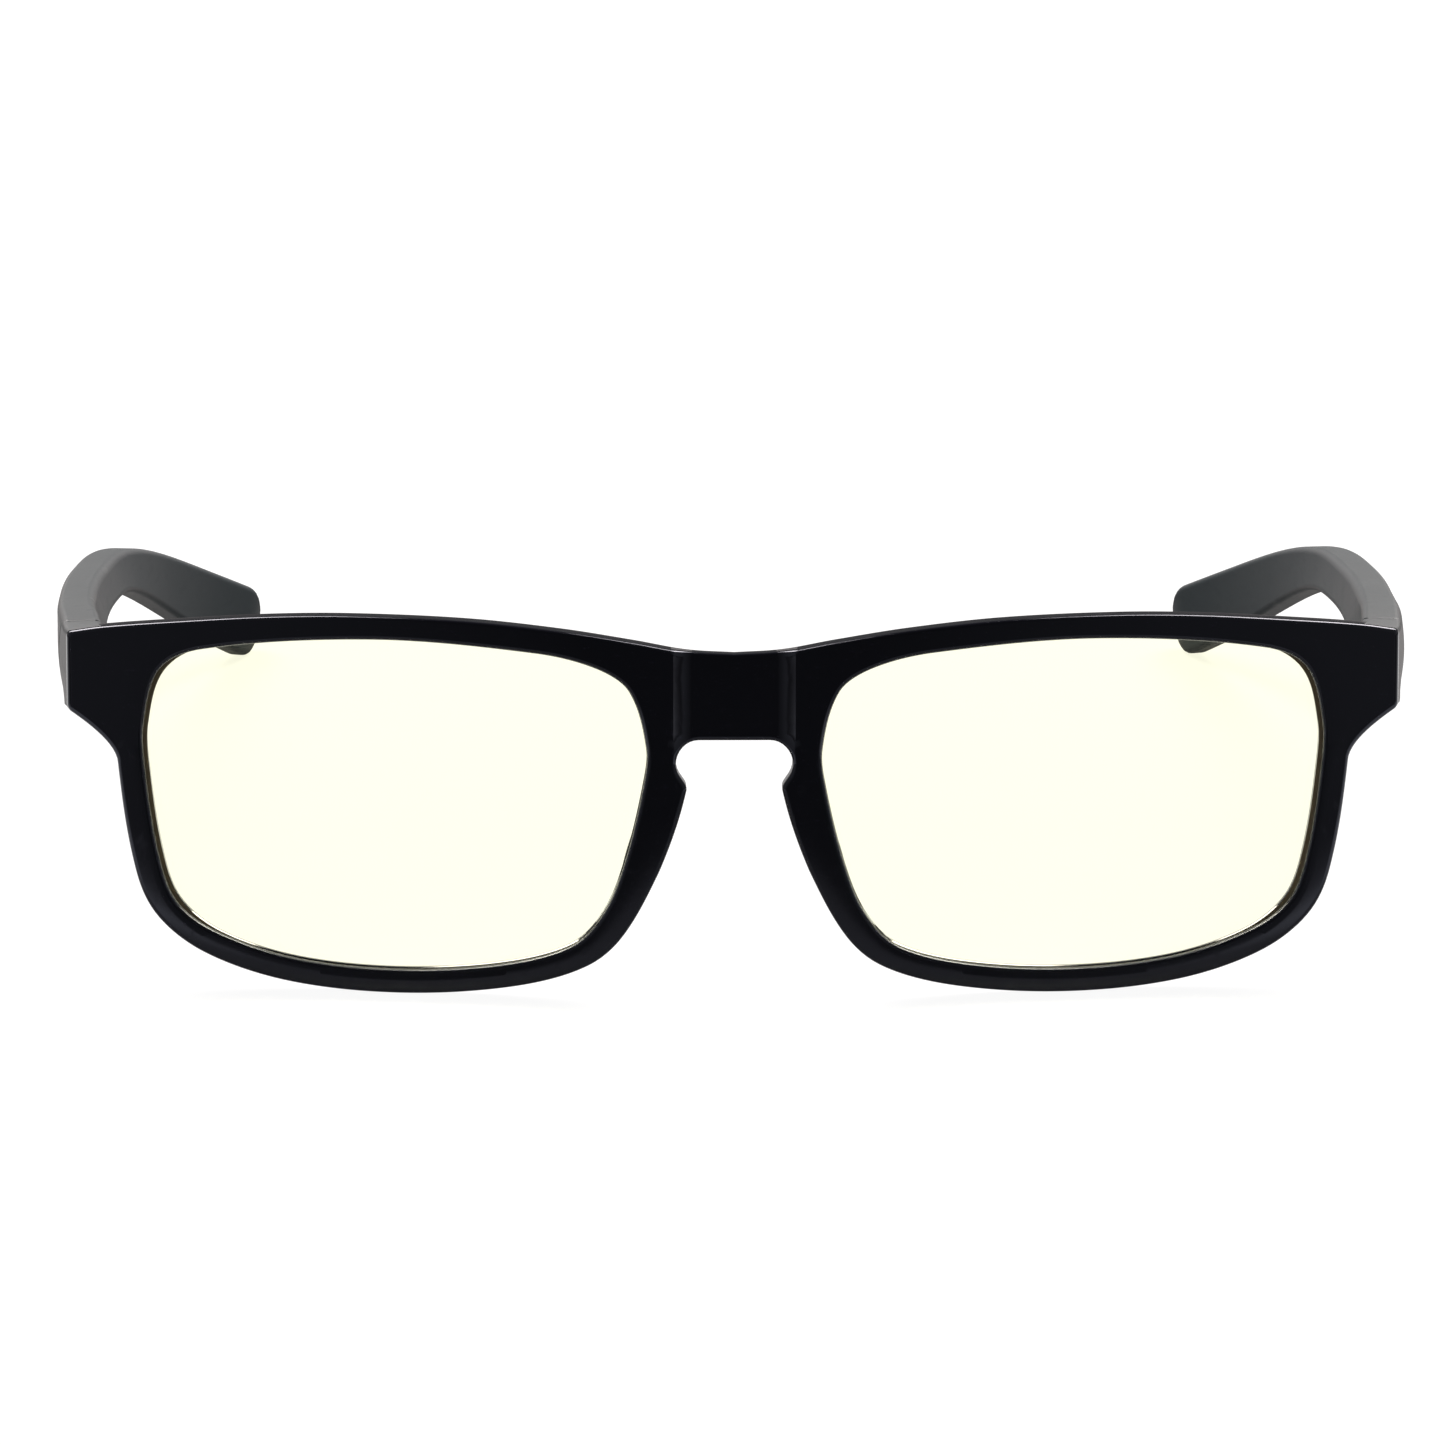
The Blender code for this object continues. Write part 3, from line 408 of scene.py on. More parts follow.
def half_outlines():
    """Matching points of the opening and of the outer edge, for the half of the front on +X."""
    end_top_start = len(BROW_LINE)
    foot = rim_point(END_UNDER_END)
    wall_end = 1 - math.sqrt((end_wall() - foot.x) / (HALF_WIDTH - foot.x))
    foot_place = blend(END_SIDE_END, END_UNDER_END, wall_end)
    web_place = nasal_place(KEYHOLE_TOP + KEYHOLE_WEB)
    arch_place = blend(web_place, len(OPENING), 0.5)
    corner = Vector((HALF_WIDTH, END_PIECE_TOP))
    flat = KEYHOLE_WIDTH / 2 - KEYHOLE_RADIUS
    runs = (
        ("brow", (0, BROW_END), brow_point, (0, end_top_start)),
        ("end_top", (BROW_END, END_TOP_END), brow_point, (end_top_start, end_top_start + 1)),
        ("end_side", (END_TOP_END, END_SIDE_END), lambda s: blend(corner, under_point(0), s), (0, 1)),
        ("end_under", (END_SIDE_END, foot_place), under_point, (0, wall_end)),
        ("end_foot", (foot_place, END_UNDER_END), under_point, (wall_end, 1)),
        ("rim", (END_UNDER_END, NOTCH_PLACE), rim_point, (END_UNDER_END, NOTCH_PLACE)),
        ("lobe", (NOTCH_PLACE, web_place), lobe_point, (0, 1)),
        ("arch", (web_place, arch_place), lambda s: Vector((flat * (1 - s), KEYHOLE_TOP)), (0, 1)),
        (
            "plane",
            (arch_place, len(OPENING)),
            lambda s: Vector((0, blend(KEYHOLE_TOP, BROW_TOP - BRIDGE_DROP, s))),
            (0, 1),
        ),
    )
    inner, outer, starts = [], [], {}
    for name, inner_run, outer_curve, outer_run in runs:
        starts[name] = len(inner)
        inner_places = evenly(opening_point, *inner_run, STATIONS[name])
        outer_places = inner_places
        if name != "rim":
            outer_places = evenly(outer_curve, *outer_run, STATIONS[name])
        inner += [(opening_point(place), opening_normal(place)) for place in inner_places]
        outer += [outer_curve(place) for place in outer_places]
    return inner, outer, starts


def bezel_point(point, normal):
    """Edge of the bezel, which leaves the edge of the lens in sight at its temporal side."""
    return point + normal * BEZEL_EASE * max(smoothstep(normal.x, *BEZEL_EASE_RUN), BEZEL_EASE_LEAST)


def crown_inset(height, full_height):
    """How far the bowed outer face of the temple lies inside its outermost line."""
    return (height - TEMPLE_CROWN_RISE * full_height) ** 2 / (2 * TEMPLE_CROWN_RADIUS)


def wall_share(index, first, last):
    """Share of the way down the inner wall of the end-piece, clear of its rounded edges."""
    return blend(END_WALL_MARGIN, 1 - END_WALL_MARGIN, (index - first) / (last - first))


def butt_points(first, top_corner, low_corner, last):
    """Where each drawn-back point of the end-piece lies on the face that meets the temple."""
    back = -BUTT_GAP / 2
    half = TEMPLE_HEIGHT / 2
    found = {}
    for index in range(first, last + 1):
        share, height = 1, half
        if index <= top_corner:
            share = (index - first) / (top_corner - first)
        elif index <= low_corner:
            height = blend(half, -half, (index - top_corner) / (low_corner - top_corner))
        else:
            share, height = (last - index) / (last - low_corner), -half
        edge = TEMPLE_OUTER - crown_inset(height, TEMPLE_HEIGHT)
        outer = Vector((blend(TEMPLE_INNER, edge, share), back, height))
        if index == low_corner:
            outer += Vector((-BUTT_EASE, 0, BUTT_EASE))
        inner = Vector((TEMPLE_INNER, back, blend(half, -half, wall_share(index, first, last))))
        found[index] = (HINGE @ outer, HINGE @ inner)
    return found


def temple_path():
    """Middle of the temple at each step back from the hinge: place, outward and upward direction."""
    step = TEMPLE_LENGTH / PATH_STEPS
    spot = Vector(((TEMPLE_INNER + TEMPLE_OUTER) / 2, BUTT_GAP / 2, 0))
    bend_end = TEMPLE_BEND_START + TEMPLE_BEND_LENGTH
    path = []
    for index in range(PATH_STEPS + 1):
        travelled = index * step
        turn = TEMPLE_BOW_TURN * min(travelled / TEMPLE_BEND_START, 1.0) ** TEMPLE_BOW_EASE
        turn += TEMPLE_TIP_TURN * smoothstep(travelled, TEMPLE_BEND_START, TEMPLE_LENGTH)
        drop = TEMPLE_BEND_DROP * smoothstep(travelled, TEMPLE_BEND_START, bend_end)
        level = math.cos(drop)
        along = Vector((-math.sin(turn) * level, math.cos(turn) * level, -math.sin(drop)))
        outward = Vector((math.cos(turn), math.sin(turn), 0))
        path.append((spot.copy(), outward, outward.cross(along)))
        spot += along * step
    return path


def temple_size(travelled):
    """Thickness, height and slant of the temple: slim at the waist, fuller again behind the ear."""
    waist = smoothstep(travelled, 0, TEMPLE_WAIST_START)
    tip = smoothstep(travelled, TEMPLE_BEND_START, TEMPLE_LENGTH)
    thickness = blend(TEMPLE_THICKNESS, TEMPLE_WAIST_THICKNESS, waist)
    thickness = blend(thickness, TEMPLE_TIP_THICKNESS, tip)
    height = blend(blend(TEMPLE_HEIGHT, TEMPLE_WAIST_HEIGHT, waist), TEMPLE_TIP_HEIGHT, tip)
    return thickness, height, TEMPLE_LEAN * waist * (1 - tip) / height


def temple_section(thickness, height, corner, slant):
    """Rounded slanted rectangle with a bowed outer face, as (outward, upward) pairs."""
    flat = []
    straight = height / 2 - corner
    for right, up, quarter in ((1, 1, 0), (-1, 1, 1), (-1, -1, 2), (1, -1, 3)):
        for step in range(CORNER_STEPS + 1):
            turn = math.pi / 2 * (quarter + step / CORNER_STEPS)
            x = right * (thickness / 2 - corner) + corner * math.cos(turn)
            flat.append((x, up * straight + corner * math.sin(turn)))
    for step in range(1, CROWN_STEPS):
        flat.append((thickness / 2, blend(-straight, straight, step / CROWN_STEPS)))
    return [(x - crown_inset(z, height) * (0.5 + x / thickness) + slant * z, z) for x, z in flat]


def sized(name, description, default, unit="LENGTH"):
    return FloatProperty(name=name, description=description, default=default, unit=unit)


def counted(name, description, default, least):
    return IntProperty(name=name, description=description, default=default, min=least)


def coloured(name, description, default):
    return FloatVectorProperty(
        name=name, description=description, default=default, subtype="COLOR", min=0, max=1
    )


class ShapeSettings(bpy.types.PropertyGroup):
    """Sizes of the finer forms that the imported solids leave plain."""

    edge_round: sized("Front edge rounding", "Radius along the edges of the moulded front", 0.45 * MM)
    saddle_round: sized(
        "Saddle edge rounding",
        "How far the sides of the recessed bridge run out into the rims",
        0.3 * MM,
    )
    metal_round: sized("Hinge edge rounding", "Radius along the edges of the hinge metal", 0.09 * MM)
    slot_width: sized("Driver slot width", "Width of the slot in the hinge screws", 0.32 * MM)
    slot_depth: sized("Driver slot depth", "Depth of the slot in the hinge screws", 0.34 * MM)
    bevel_segments: counted("Rounding segments", "Faces across each rounded edge of the front", 4, 2)
    round_sides: counted("Round sides", "Faces round barrels and screws", 48, 12)
    lens_sides: counted("Lens sides", "Faces round the edge of a lens", 240, 48)
    temple_steps: counted("Temple steps", "Sections along a temple", 140, 40)


class FinishSettings(bpy.types.PropertyGroup):
    """Colours and surface textures of the glasses."""

    black: coloured("Front", "Colour of the gloss moulding", (0.006, 0.006, 0.0115))
    grey: coloured(
        "Soft grey", "Colour of the soft-touch temples and end-pieces", (0.058, 0.068, 0.071)
    )
    # Painted shade: dark cool colour laid on the insides of the temples in place of the shade that
    # falls there
    inside: coloured(
        "Soft grey inside",
        "Colour towards which the insides of the temples darken",
        (0.004, 0.019, 0.026),
    )
    tint: coloured(
        "Lens tint", "Colour of white light after it has passed a lens", (0.992, 0.990, 0.800)
    )
    ground: coloured("Lens edge", "Colour of the ground edge of a lens", (0.36, 0.29, 0.17))
    steel: coloured("Hinge steel", "Colour of the hinge metal", (0.56, 0.55, 0.53))
    spring: coloured(
        "Core steel", "Colour of the spring strips inside the temples", (0.44, 0.44, 0.45)
    )
    grain: sized("Soft-touch grain", "Width of one grain of the soft-touch surface", 0.16 * MM)
    peel: sized("Gloss ripple", "Width of the faint ripples in the gloss moulding", 0.9 * MM)


class StageSettings(bpy.types.PropertyGroup):
    """Camera and lamps."""

    distance: sized("Camera distance", "From the camera to the bridge", 0.85)
    elevation: sized(
        "Camera elevation",
        "Height of the camera over the plane square to the front",
        math.radians(8.5),
        "ROTATION",
    )
    azimuth: sized(
        "Camera azimuth", "Turn of the camera round the glasses", math.radians(-0.85), "ROTATION"
    )
    roll: sized("Camera roll", "Turn of the picture", math.radians(0.1), "ROTATION")
    focal: sized("Focal length", "Of the camera, in millimetres on a 36 mm sensor", 201.3, "NONE")
    lamp_power: sized("Lamp power", "Of each lamp behind the glasses", 6.8, "POWER")


class Wire:
    """Output of a shader node that can stand in a sum."""

    def __init__(self, graph, socket):
        self.graph = graph
        self.socket = socket

    def math(self, operation, first, second):
        return self.graph.node("ShaderNodeMath", {"operation": operation}, {0: first, 1: second})

    def __add__(self, other):
        return self.math("ADD", self, other)

    __radd__ = __add__

    def __sub__(self, other):
        return self.math("SUBTRACT", self, other)

    def __rsub__(self, other):
        return self.math("SUBTRACT", other, self)

    def __mul__(self, other):
        return self.math("MULTIPLY", self, other)

    __rmul__ = __mul__


def find(sockets, name):
    """Socket with a number, or with a name among those in use."""
    if isinstance(name, int):
        return sockets[name]
    return next(item for item in sockets if item.name == name and item.enabled)


class Graph:
    """Node tree of a material or of the world."""

    def __init__(self, owner):
        owner.use_nodes = True
        self.tree = owner.node_tree

    def node(self, kind, settings=None, sockets=None, out=0):
        made = self.tree.nodes.new(kind)
        for name, value in (settings or {}).items():
            setattr(made, name, value)
        self.set(made, sockets or {})
        return Wire(self, find(made.outputs, out))

    def set(self, made, sockets):
        for name, value in sockets.items():
            socket = find(made.inputs, name)
            if isinstance(value, Wire):
                self.tree.links.new(value.socket, socket)
            else:
                socket.default_value = value

    def place(self):
        return self.node("ShaderNodeTexCoord", out="Object")

    def ray(self, kind):
        return self.node("ShaderNodeLightPath", out=kind)

    def part(self, place, axis):
        return self.node("ShaderNodeSeparateXYZ", sockets={0: place}, out=axis)

    def across(self, place):
        """Distance to either side of the middle."""
        return self.node("ShaderNodeMath", {"operation": "ABSOLUTE"}, {0: self.part(place, "X")})

    def noise(self, place, size, detail=2.0, stretch=None):
        """Noise from 0 to 1 with lumps of a size in metres, drawn out along an axis by a stretch."""
        if stretch:
            place = self.node("ShaderNodeMapping", sockets={"Vector": place, "Scale": stretch})
        sockets = {"Vector": place, "Scale": 1 / size, "Detail": detail}
        return self.node("ShaderNodeTexNoise", sockets=sockets, out="Fac")

    def ramp(self, value, low, high):
        """0 up to the low value and 1 from the high one."""
        wire = self.node("ShaderNodeValToRGB", sockets={"Fac": value})
        for stop, position in zip(wire.socket.node.color_ramp.elements, (low, high)):
            stop.position = position
        return wire

    def mix(self, share, first, second):
        sockets = {"Factor": share, "A": (*first, 1.0), "B": (*second, 1.0)}
        return self.node("ShaderNodeMix", {"data_type": "RGBA"}, sockets, "Result")

    def shades(self, share, colour, dark, light):
        """A colour from a darker to a lighter shade of it."""
        return self.mix(share, scaled(colour, dark), scaled(colour, light))

    def bump(self, height, depth, strength):
        sockets = {"Height": height, "Distance": depth, "Strength": strength}
        return self.node("ShaderNodeBump", sockets=sockets, out="Normal")

    def edges(self):
        """1 along worn outer edges, 0 on faces and in hollows."""
        return self.ramp(self.node("ShaderNodeNewGeometry", out="Pointiness"), 0.52, 0.6)

    def seen(self, mirrored):
        """1 for what the camera sees, also through a lens, and a level for what is mirrored."""
        straight = self.ray("Is Camera Ray") + self.ray("Is Transmission Ray")
        return straight + self.ray("Is Glossy Ray") * mirrored

    def surface(self, share, other):
        """Lets another shader stand in for a share of the main one."""
        main = Wire(self, self.tree.nodes["Principled BSDF"].outputs[0])
        mixed = self.node("ShaderNodeMixShader", sockets={0: share, 1: main, 2: other})
        self.set(self.tree.nodes["Material Output"], {"Surface": mixed})


def scaled(colour, factor):
    return tuple(min(part * factor, 1.0) for part in colour)


def material(recipe, *settings):
    """Material named after its recipe, which gives the inputs of the main shader. It is made once."""
    made = bpy.data.materials.get(recipe.__name__)
    if not made:
        made = bpy.data.materials.new(recipe.__name__)
        graph = Graph(made)
        graph.set(graph.tree.nodes["Principled BSDF"], recipe(graph, *settings))
    return made


def black_gloss(graph, finish):
    """Polished black moulding with faint ripples, hairline scuffs and edges that lost some polish."""
    place = graph.place()
    clouds = graph.noise(place, 6 * MM, 3.0)
    ripple = graph.noise(place, finish.peel, 1.0)
    scuffs = graph.ramp(graph.noise(place, 1.4 * MM, 4.0, (1.0, 5.0, 0.35)), 0.62, 0.74)
    worn = graph.edges()
    return {
        "Base Color": graph.shades(clouds * 0.6 + worn * 0.4, finish.black, 0.75, 1.5),
        "Roughness": 0.07 + clouds * 0.04 + scuffs * 0.08 + worn * 0.05,
        "IOR": 1.5,
        "Specular Tint": (0.78, 0.82, 1.0, 1.0),
        "Normal": graph.bump(ripple, 0.01 * MM, 0.12),
    }


def soft_grey(graph, finish):
    """Rubbery grey coating: fine grain, cloudy marks, rubbed edges, a duller inside, and painted
    shade that darkens the insides of the temples.
    """
    place = graph.place()
    grain = graph.noise(place, finish.grain, 2.0)
    clouds = graph.noise(place, 9 * MM, 3.0)
    marks = graph.ramp(graph.noise(place, 3 * MM, 5.0, (2.0, 0.4, 2.0)), 0.55, 0.72)
    worn = graph.edges()
    side = graph.node("ShaderNodeMath", {"operation": "SIGN"}, {0: graph.part(place, "X")})
    facing = graph.part(graph.node("ShaderNodeTexCoord", out="Normal"), "X")
    inside = graph.ramp(0.0 - side * facing, 0.2, 0.8)
    # Painted shade: faces turned towards the middle darken, more so further back along the temples
    painted_shade = inside * (0.28 + 0.4 * graph.ramp(graph.part(place, "Y"), 0.01, 0.07))
    share = 0.55 + clouds * 0.25 + grain * 0.12 + worn * 0.12 - painted_shade
    return {
        # The painted shade pulls the colour towards the inside colour
        "Base Color": graph.mix(share, finish.inside, scaled(finish.grey, 1.3)),
        "Roughness": 0.44 + grain * 0.1 + marks * 0.06 - worn * 0.06 + inside * 0.15,
        "IOR": 1.5,
        "Sheen Weight": 0.08,
        "Sheen Roughness": 0.4,
        "Sheen Tint": (1.0, 0.82, 0.79, 1.0),
        "Normal": graph.bump(grain, 0.02 * MM, 0.25),
    }


def tinted_lens(graph, finish):
    """Clear pale yellow plastic that lets lamps through, with the faintest smears."""
    place = graph.place()
    smears = graph.ramp(graph.noise(place, 11 * MM, 4.0, (1.0, 1.0, 2.2)), 0.5, 0.8)
    clouds = graph.noise(place, 22 * MM, 2.0)
    through = graph.node("ShaderNodeBsdfTransparent", sockets={"Color": (*finish.tint, 1.0)})
    graph.surface(graph.ray("Is Shadow Ray"), through)
    return {
        "Base Color": graph.shades(clouds, finish.tint, 0.996, 1.0),
        "Roughness": 0.005 + smears * 0.02,
        "IOR": 1.25,
        "Transmission Weight": 1.0,
    }


def ground_edge(graph, finish):
    """Frosted edge of a lens, with the lines of the grinding wheel."""
    place = graph.place()
    lines = graph.noise(place, 0.15 * MM, 2.0, (1.0, 1.0, 0.2))
    clouds = graph.noise(place, 5 * MM, 3.0)
    return {
        "Base Color": graph.shades(clouds, finish.ground, 0.8, 1.25),
        "Roughness": 0.5 + lines * 0.15,
        "Normal": graph.bump(lines, 0.004 * MM, 0.2),
    }


def satin_steel(graph, finish):
    """Tumbled hinge metal with fine streaks."""
    place = graph.place()
    streaks = graph.noise(place, 0.12 * MM, 2.0, (1.0, 1.0, 0.08))
    clouds = graph.noise(place, 1.5 * MM, 3.0)
    worn = graph.edges()
    return {
        "Base Color": graph.shades(clouds * 0.6 + worn * 0.4, finish.steel, 0.82, 1.15),
        "Metallic": 1.0,
        "Roughness": 0.24 + streaks * 0.14 + clouds * 0.06 - worn * 0.08,
        "Normal": graph.bump(streaks, 0.004 * MM, 0.2),
    }


def spring_steel(graph, finish):
    """Drawn strip with lengthwise lines."""
    place = graph.place()
    lines = graph.noise(place, 0.2 * MM, 2.0, (1.0, 0.03, 1.0))
    clouds = graph.noise(place, 4 * MM, 3.0)
    return {
        "Base Color": graph.shades(clouds, finish.spring, 0.8, 1.15),
        "Metallic": 1.0,
        "Roughness": 0.3 + lines * 0.18,
        "Normal": graph.bump(lines, 0.004 * MM, 0.25),
    }


def white_floor(graph):
    """White to the camera and through a lens. In the gloss it is dim, but bright at the sides."""
    place = graph.place()
    away = graph.node("ShaderNodeVectorMath", {"operation": "LENGTH"}, {0: place}, out="Value")
    near = 1.0 - graph.ramp(away, *FLOOR_NEAR)
    before = 1.0 - graph.ramp(graph.part(place, "Y"), *FLOOR_BEFORE)
    close = 1.0 - graph.ramp(away, *FLOOR_BESIDE_END)
    beside = close * graph.ramp(graph.across(place), *FLOOR_BESIDE)
    seen = graph.seen(near * (0.03 + 0.22 * before) + 0.75 * beside)
    pale = graph.node("ShaderNodeBsdfDiffuse", sockets={"Color": (0.14, 0.14, 0.14, 1)})
    glow = graph.node("ShaderNodeEmission", sockets={"Color": (1, 1, 1, 1), "Strength": 0.94})
    graph.surface(seen, graph.node("ShaderNodeAddShader", sockets={0: pale, 1: glow}))
    return {"Base Color": (0.15, 0.15, 0.15, 1), "Roughness": 1.0, "Specular IOR Level": 0.0}


def line_through(bm, points, closed=True):
    """Edges from point to point, and from the last back to the first of a closed line."""
    verts = [bm.verts.new(point) for point in points]
    for pair in zip(verts, verts[1:] + (verts[:1] if closed else [])):
        bm.edges.new(pair)
    return verts


def loop_edges(bm, loop):
    return [bm.edges.get(pair) for pair in zip(loop, loop[1:] + loop[:1])]


def tube(bm, rings):
    """Wall drawn from ring to ring by extruding the loop of edges at its end."""
    loops = [line_through(bm, rings[0])]
    for ring in rings[1:]:
        before = loops[-1]
        drawn = bmesh.ops.extrude_edge_only(bm, edges=loop_edges(bm, before))
        fresh = {item for item in drawn["geom"] if isinstance(item, bmesh.types.BMVert)}
        after = []
        for vert, point in zip(before, ring):
            ends = (edge.other_vert(vert) for edge in vert.link_edges)
            new = next(end for end in ends if end in fresh)
            new.co = point
            after.append(new)
        loops.append(after)
    return loops


def strip(bm, near, far, first, last):
    """Faces between two neighbouring loops, from one place on them to another."""
    return [bm.faces.get((near[i], near[i + 1], far[i + 1], far[i])) for i in range(first, last)]


def cap(bm, loop):
    bmesh.ops.edgeloop_fill(bm, edges=loop_edges(bm, loop))


def coat(faces):
    """Gives faces the second material of their piece."""
    for face in faces:
        face.material_index = 1


def everything(bm):
    return bm.verts[:] + bm.edges[:] + bm.faces[:]


def outward(bm):
    bmesh.ops.recalc_face_normals(bm, faces=bm.faces[:])


def weld(bm):
    bmesh.ops.remove_doubles(bm, verts=bm.verts[:], dist=WELD_GAP)


def rounded(bm, geometry, radius, segments, affect="EDGES"):
    bmesh.ops.bevel(
        bm, geom=geometry, offset=radius, segments=segments, profile=0.5, affect=affect, material=-1
    )


def turned(bm, sides):
    """Body of revolution of a profile, round the Z axis."""
    bmesh.ops.spin(
        bm,
        geom=bm.verts[:] + bm.edges[:],
        axis=(0, 0, 1),
        cent=(0, 0, 0),
        angle=2 * math.pi,
        steps=sides,
        use_merge=True,
    )
    weld(bm)


def to_object(bm, name, side=1, place=TABLE, materials=()):
    """Object of a bmesh drawn for the right-hand side, mirrored if it is for the left."""
    outward(bm)
    bmesh.ops.transform(bm, matrix=place, verts=bm.verts[:])
    if side < 0:
        bmesh.ops.scale(bm, vec=(-1, 1, 1), verts=bm.verts[:])
        bmesh.ops.reverse_faces(bm, faces=bm.faces[:])
    mesh = bpy.data.meshes.new(name)
    bm.to_mesh(mesh)
    bm.free()
    obj = bpy.data.objects.new(name, mesh)
    bpy.context.scene.collection.objects.link(obj)
    for item in materials:
        mesh.materials.append(item)
    return obj


def carve(piece, tools):
    """Takes the tools out of a piece and throws them away."""
    for tool in tools:
        cut = piece.modifiers.new(tool.name, "BOOLEAN")
        cut.operation = "DIFFERENCE"
        cut.solver = "EXACT"
        cut.object = tool
    graph = bpy.context.evaluated_depsgraph_get()
    mesh = bpy.data.meshes.new_from_object(piece.evaluated_get(graph))
    if not mesh.polygons:
        raise RuntimeError(f"nothing was left of {piece.name}")
    piece.modifiers.clear()
    spent = [piece.data] + [tool.data for tool in tools]
    mesh.name = piece.data.name
    piece.data = mesh
    for tool in tools:
        bpy.data.objects.remove(tool)
    for data in spent:
        bpy.data.meshes.remove(data)


def smooth(piece, angle=SHADE_CREASE):
    """Smooth shading that leaves broad faces flat."""
    piece.data.shade_smooth()
    piece.data.set_sharp_from_angle(angle=angle)
    weight = piece.modifiers.new("flat faces", "WEIGHTED_NORMAL")
    weight.keep_sharp = True


def seat(piece, body, slot, *nodes):
    """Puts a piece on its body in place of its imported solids."""
    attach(piece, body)
    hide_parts(*nodes)


def block(low, high):
    bm = bmesh.new()
    low, high = Vector(low), Vector(high)
    matrix = Matrix.Translation((low + high) / 2) @ Matrix.Diagonal((*(high - low), 1))
    bmesh.ops.create_cube(bm, size=1, matrix=matrix)
    return bm


def pillar(radius, bottom, top, sides):
    bm = bmesh.new()
    bmesh.ops.create_cone(
        bm,
        cap_ends=True,
        segments=sides,
        radius1=radius,
        radius2=radius,
        depth=top - bottom,
        matrix=Matrix.Translation((0, 0, (bottom + top) / 2)),
    )
    return bm


def hinge_room(way, side, name, sides):
    """Pocket for a leaf and hollow for the barrels. way is 1 in the temple and -1 in the front."""
    length = (TEMPLE_LEAF_LENGTH if way > 0 else FRONT_LEAF_LENGTH) + HINGE_CLEARANCE
    low, high = sorted((-way * BUTT_GAP, way * length))
    pocket = block(
        (LEAF_INNER - LEAF_THICKNESS, low, HINGE_BOTTOM - HINGE_CLEARANCE),
        (LEAF_OUTER + HINGE_CLEARANCE, high, HINGE_TOP + HINGE_CLEARANCE),
    )
    hollow = pillar(KNUCKLE_RADIUS + HINGE_CLEARANCE, -TEMPLE_HEIGHT, TEMPLE_HEIGHT, sides)
    return [
        to_object(pocket, f"pocket_{name}", side, TABLE @ HINGE),
        to_object(hollow, f"hollow_{name}", side, TABLE @ HINGE),
    ]


def sink_saddle(bm, edge_round):
    """Sets the bridge back: cuts its sloping sides into strips, squeezes it towards its back face."""
    edge = SADDLE_WIDTH / 2 + edge_round
    floor = SADDLE_WIDTH / 2 - SADDLE_FILLET
    for step in range(SADDLE_STEPS + 1):
        x = blend(floor, edge, step / SADDLE_STEPS)
        for way in (-1, 1):
            near = [face for face in bm.faces if abs(face.calc_center_median().x) < SADDLE_WIDTH]
            geometry = {item for face in near for item in (face, *face.edges, *face.verts)}
            bmesh.ops.bisect_plane(
                bm, geom=list(geometry), dist=CUT_GAP, plane_co=(way * x, 0, 0), plane_no=(1, 0, 0)
            )
    for vert in bm.verts:
        x, y, z = vert.co
        climbed = min(max((abs(x) - floor) / (edge - floor), 0), 1)
        depth = SADDLE_RECESS * (1 - climbed**2)
        depth *= smoothstep(z, KEYHOLE_TOP - KEYHOLE_RADIUS, KEYHOLE_TOP + SADDLE_FADE)
        if depth > 0:
            back = front_sag(x) + FRONT_DEPTH
            vert.co.y = back - (back - y) * (1 - depth / FRONT_DEPTH)


def front_rings(inner, outer, first, last):
    """Rings from the bezel round the rim and through the lens groove, bent to the front's curve."""
    opening = [point for point, _ in inner]
    eased = [bezel_point(*pair) for pair in inner]
    groove = [point + normal * (LENS_BEVEL + LENS_FIT) for point, normal in inner]
    middle = []
    for near, far in zip(opening, outer):
        middle.append(blend(near, far, min(RIM_SIDE / (far - near).length, 0.5)))
    wall = middle[:]
    for index in range(first, last + 1):
        wall[index] = blend(outer[first], outer[last], wall_share(index, first, last))

    def bent(outline, depth):
        ring = []
        for point in outline:
            reach = smoothstep(point.x, HALF_WIDTH - END_PIECE_REACH, HALF_WIDTH)
            x = point.x + reach * depth * math.tan(END_PIECE_FLARE)
            ring.append(Vector((x, front_sag(point.x) + depth, point.y)))
        return ring

    def seated(outline, depth):
        return [Vector((p.x, lens_sag(o.x, o.y) + depth, p.y)) for p, o in zip(outline, opening)]

    return [
        bent(eased, 0),
        bent(middle, 0),
        bent(outer, 0),
        bent(outer, BEZEL_DEPTH),
        bent(outer, FRONT_DEPTH),
        bent(wall, FRONT_DEPTH),
        bent(opening, FRONT_DEPTH),
        seated(opening, LENS_THICKNESS + LENS_FIT),
        seated(groove, LENS_THICKNESS / 2),
        seated(eased, -LENS_FIT),
        bent(eased, 0),
    ]


def draw_end(bm, bezel, outer_back, wall_back, starts):
    """Draws the end-piece back to the face that meets the temple, and coats it."""
    first, last = starts["end_top"], starts["end_foot"]
    coat(strip(bm, bezel, outer_back, first, last))
    end_faces = strip(bm, outer_back, wall_back, first, last)
    coat(end_faces)
    moves = {}
    for index, targets in butt_points(first, starts["end_side"], starts["end_under"], last).items():
        for loop, target in zip((outer_back, wall_back), targets):
            moves[tuple(loop[index].co)] = target
    drawn = bmesh.ops.extrude_face_region(bm, geom=end_faces)
    bmesh.ops.delete(bm, geom=[face for face in end_faces if face.is_valid], context="FACES")
    for item in drawn["geom"]:
        if isinstance(item, bmesh.types.BMVert):
            item.co = moves[tuple(item.co)]
            coat(item.link_faces)


